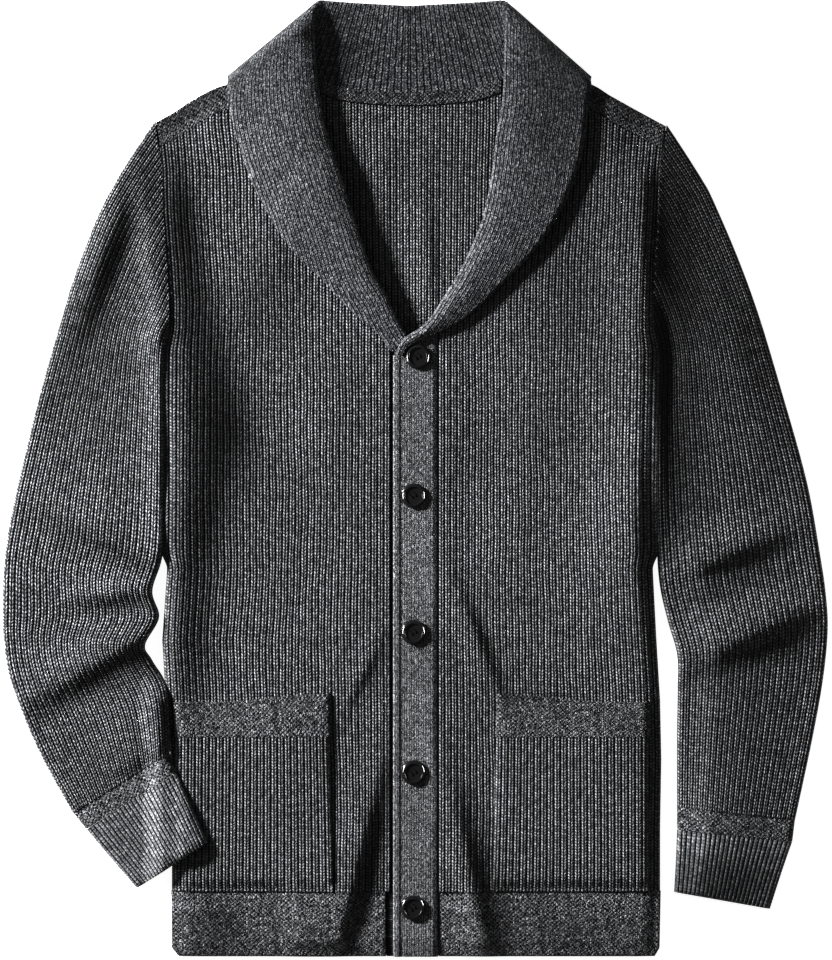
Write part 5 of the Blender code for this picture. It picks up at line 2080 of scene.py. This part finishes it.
@dataclass
class Button:
    """A four-hole button with a raised round rim and a sunk middle, sewn on with thread."""

    number: int
    place: tuple[float, float]
    radius: float = CUT.button_radius
    rim_width: float = 2.9
    rim_height: float = 3.2
    rim_low: float = 1.4
    middle_height: float = 2.0
    hole_radius: float = 0.85
    hole_offset: float = 1.75
    thread_radius: float = 0.5
    turn: float = -1.0

    def _profile(self) -> list[tuple[float, float]]:
        """Radius and height round the section, from the axis below to the axis above."""
        foot = [(0.0, 0.0), (self.radius - 2.0, 0.0), (self.radius - 0.6, 0.5), (self.radius, 1.3)]
        inside = self.radius - self.rim_width
        crest = self.rim_height - self.rim_low
        rim = [
            (inside + self.rim_width * float(np.cos(angle)), self.rim_low + crest * float(np.sin(angle)))
            for angle in np.linspace(0.06, 0.5 * np.pi, 16)
        ]
        return foot + rim + [(inside - 0.35, self.middle_height), (0.0, self.middle_height - 0.15)]

    def build(self, shop: Workshop, wardrobe: Wardrobe) -> bpy.types.Object:
        """Turns the button, drills it and sews it on."""
        bm = bmesh.new()
        verts = [bm.verts.new((r, 0, z)) for r, z in self._profile()]
        edges = [bm.edges.new(ends) for ends in zip(verts, verts[1:])]
        bmesh.ops.spin(
            bm, geom=verts + edges, cent=(0, 0, 0), axis=(0, 0, 1), dvec=(0, 0, 0),
            angle=2 * np.pi, steps=72, use_merge=True,
        )
        bmesh.ops.remove_doubles(bm, verts=bm.verts, dist=1e-3)
        low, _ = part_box(f"button_{self.number}")
        raised = float(body_swell(*np.array(self.place)))
        at = Vector((*self.place, low.z / MM + raised))
        move = Matrix.Translation(Vector(shop.shift) + at)
        to_frame = Matrix.Scale(MM, 4) @ move
        bm.transform(to_frame)
        name = f"button_{self.number}_turned"
        obj = shop.to_object(name, bm, wardrobe.gloss)
        self._drill(obj, to_frame)
        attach(obj, "root")
        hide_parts(f"button_{self.number}")
        LOG.info("%s: %d faces", name, len(obj.data.polygons))
        self._sew(shop, wardrobe, to_frame)
        return obj

    def _drill(self, obj: bpy.types.Object, to_frame: Matrix) -> None:
        """Cuts the four thread holes."""
        bm = bmesh.new()
        for dx in (-self.hole_offset, self.hole_offset):
            for dy in (-self.hole_offset, self.hole_offset):
                made = bmesh.ops.create_cone(
                    bm,
                    cap_ends=True,
                    segments=16,
                    radius1=self.hole_radius,
                    radius2=self.hole_radius,
                    depth=8,
                )
                bmesh.ops.translate(bm, verts=made["verts"], vec=(dx, dy, 1))
        bmesh.ops.rotate(bm, verts=bm.verts, cent=(0, 0, 0), matrix=Matrix.Rotation(self.turn, 3, "Z"))
        bm.transform(to_frame)
        mesh = bpy.data.meshes.new("drill")
        bm.to_mesh(mesh)
        bm.free()
        drill = bpy.data.objects.new("drill", mesh)
        bpy.context.scene.collection.objects.link(drill)
        holes = obj.modifiers.new("Holes", "BOOLEAN")
        holes.object = drill
        holes.operation = "DIFFERENCE"
        graph = bpy.context.evaluated_depsgraph_get()
        drilled = bpy.data.meshes.new_from_object(obj.evaluated_get(graph))
        obj.modifiers.clear()
        old = obj.data
        obj.data = drilled
        drilled.name = obj.name
        bpy.data.meshes.remove(old)
        bpy.data.objects.remove(drill, do_unlink=True)
        obj.data.set_sharp_from_angle(angle=0.7)

    def _sew(self, shop: Workshop, wardrobe: Wardrobe, to_frame: Matrix) -> None:
        """Lays two side by side stitches of dark thread from hole to hole."""
        bm = bmesh.new()
        reach = self.hole_offset
        for beside in (-reach, reach):
            self._strand(bm, Vector((-reach, beside, 1.0)), Vector((reach, beside, 1.0)))
        bmesh.ops.rotate(bm, verts=bm.verts, cent=(0, 0, 0), matrix=Matrix.Rotation(self.turn, 3, "Z"))
        bm.transform(to_frame)
        bmesh.ops.recalc_face_normals(bm, faces=bm.faces)
        obj = shop.to_object(f"button_{self.number}_thread", bm, wardrobe.thread)
        obj.data.uv_layers.new(name=KNIT_UV)
        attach(obj, "root")

    def _strand(self, bm: bmesh.types.BMesh, start: Vector, end: Vector) -> None:
        """Sweeps one arched strand of thread between two points."""
        steps = 10
        rings = []
        along = (end - start).normalized()
        beside = along.cross(Vector((0, 0, 1))).normalized()
        for step in range(steps + 1):
            share = step / steps
            height = 1.45 * float(np.sin(np.pi * share)) ** 0.35
            centre = start.lerp(end, share) + Vector((0, 0, height))
            axes = Matrix((beside, Vector((0, 0, 1)), along)).transposed().to_4x4()
            turn = Matrix.Translation(centre) @ axes
            ring = bmesh.ops.create_circle(
                bm, cap_ends=False, segments=8, radius=self.thread_radius, matrix=turn
            )
            rings.append({edge for vert in ring["verts"] for edge in vert.link_edges})
        for first, second in zip(rings, rings[1:]):
            bmesh.ops.bridge_loops(bm, edges=list(first | second))
        bmesh.ops.holes_fill(bm, edges=[edge for edge in bm.edges if edge.is_boundary], sides=0)


@dataclass
class Studio:
    """The pale floor, the lights and the camera above."""

    height: int = 960
    pixel: float = 0.83
    lens: float = 120.0
    sensor: float = 36.0
    focus_height: float = 6.0
    key_watts: float = 1450.0
    key_place: tuple[float, float, float] = (-2.5, 1.2, 1.05)
    key_aim: tuple[float, float, float] = (-0.12, -0.12, 0.0)
    strip_watts: float = 34.0

    def build(self, shop: Workshop) -> None:
        """Sets up the studio."""
        self._floor()
        self._world()
        self._lights()
        self._camera(shop)
        view = bpy.context.scene.view_settings
        view.view_transform = "Standard"
        view.look = "None"
        view.exposure = 0.0
        view.gamma = 0.75

    def _floor(self) -> None:
        """A wide pale floor just under the garment."""
        bm = bmesh.new()
        bmesh.ops.create_grid(bm, x_segments=1, y_segments=1, size=6.0)
        mesh = bpy.data.meshes.new("floor")
        bm.to_mesh(mesh)
        bm.free()
        floor = bpy.data.objects.new("floor", mesh)
        floor.location.z = -0.0005
        bpy.context.scene.collection.objects.link(floor)
        material = bpy.data.materials.new("Floor_white")
        material.use_nodes = True
        shader = material.node_tree.nodes["Principled BSDF"]
        shader.inputs["Base Color"].default_value = (0.9, 0.9, 0.9, 1.0)
        shader.inputs["Roughness"].default_value = 0.8
        shader.inputs["Specular IOR Level"].default_value = 0.1
        shader.inputs["Emission Color"].default_value = (1.0, 1.0, 1.0, 1.0)
        shader.inputs["Emission Strength"].default_value = 0.9
        mesh.materials.append(material)

    @staticmethod
    def _world() -> None:
        """Even white light from all round."""
        world = bpy.data.worlds.new("Studio")
        world.use_nodes = True
        sky = world.node_tree.nodes["Background"]
        sky.inputs["Color"].default_value = (1.0, 1.0, 1.0, 1.0)
        sky.inputs["Strength"].default_value = 0.12
        bpy.context.scene.world = world

    def _lights(self) -> None:
        """A soft key light from the upper left, and two strips that only shine on the buttons."""
        key = bpy.data.lights.new("key", "SPOT")
        key.energy = self.key_watts
        key.shadow_soft_size = 0.22
        key.spot_size = 0.56
        key.spot_blend = 1.0
        lamp = bpy.data.objects.new("key", key)
        lamp.location = self.key_place
        beam = Vector(self.key_aim) - Vector(self.key_place)
        lamp.rotation_euler = beam.to_track_quat("-Z", "Y").to_euler()
        bpy.context.scene.collection.objects.link(lamp)
        for name, side in (("left_strip", -1), ("right_strip", 1)):
            data = bpy.data.lights.new(name, "AREA")
            data.shape = "RECTANGLE"
            data.size = 0.5
            data.size_y = 0.2
            data.energy = self.strip_watts
            strip = bpy.data.objects.new(name, data)
            strip.location = (0.85 * side, 0.0, 1.0)
            strip.rotation_euler = (-strip.location).to_track_quat("-Z", "Y").to_euler()
            strip.visible_diffuse = False
            bpy.context.scene.collection.objects.link(strip)

    def _camera(self, shop: Workshop) -> None:
        """A camera with a long lens, looking straight down."""
        data = bpy.data.cameras.new("camera")
        data.lens = self.lens
        data.sensor_fit = "VERTICAL"
        data.sensor_height = self.sensor
        data.dof.use_dof = False
        distance = self.height * self.pixel * self.lens / self.sensor
        camera = bpy.data.objects.new("camera", data)
        camera.location = shop.place(np.array([0.0, 0.0, self.focus_height + distance]))
        bpy.context.scene.collection.objects.link(camera)
        bpy.context.scene.camera = camera


def main() -> None:
    """Builds the garment's pieces in order, then the studio."""
    logging.basicConfig(level=logging.INFO, format="%(name)s: %(message)s")
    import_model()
    shop = Workshop()
    wardrobe = Wardrobe.stocked()
    BackPanel().build(shop, wardrobe)
    for side in Side:
        FrontPanel(side).build(shop, wardrobe)
    MossStrips().build(shop, wardrobe)
    Sleeves().build(shop, wardrobe)
    Collar().build(shop, wardrobe)
    Bands().build(shop, wardrobe)
    for side in Side:
        Pocket(side).build(shop, wardrobe)
    for number, place in enumerate(BUTTON_PLACES, 1):
        Button(number, place).build(shop, wardrobe)
    Studio().build(shop)


if __name__ == "__main__":
    main()
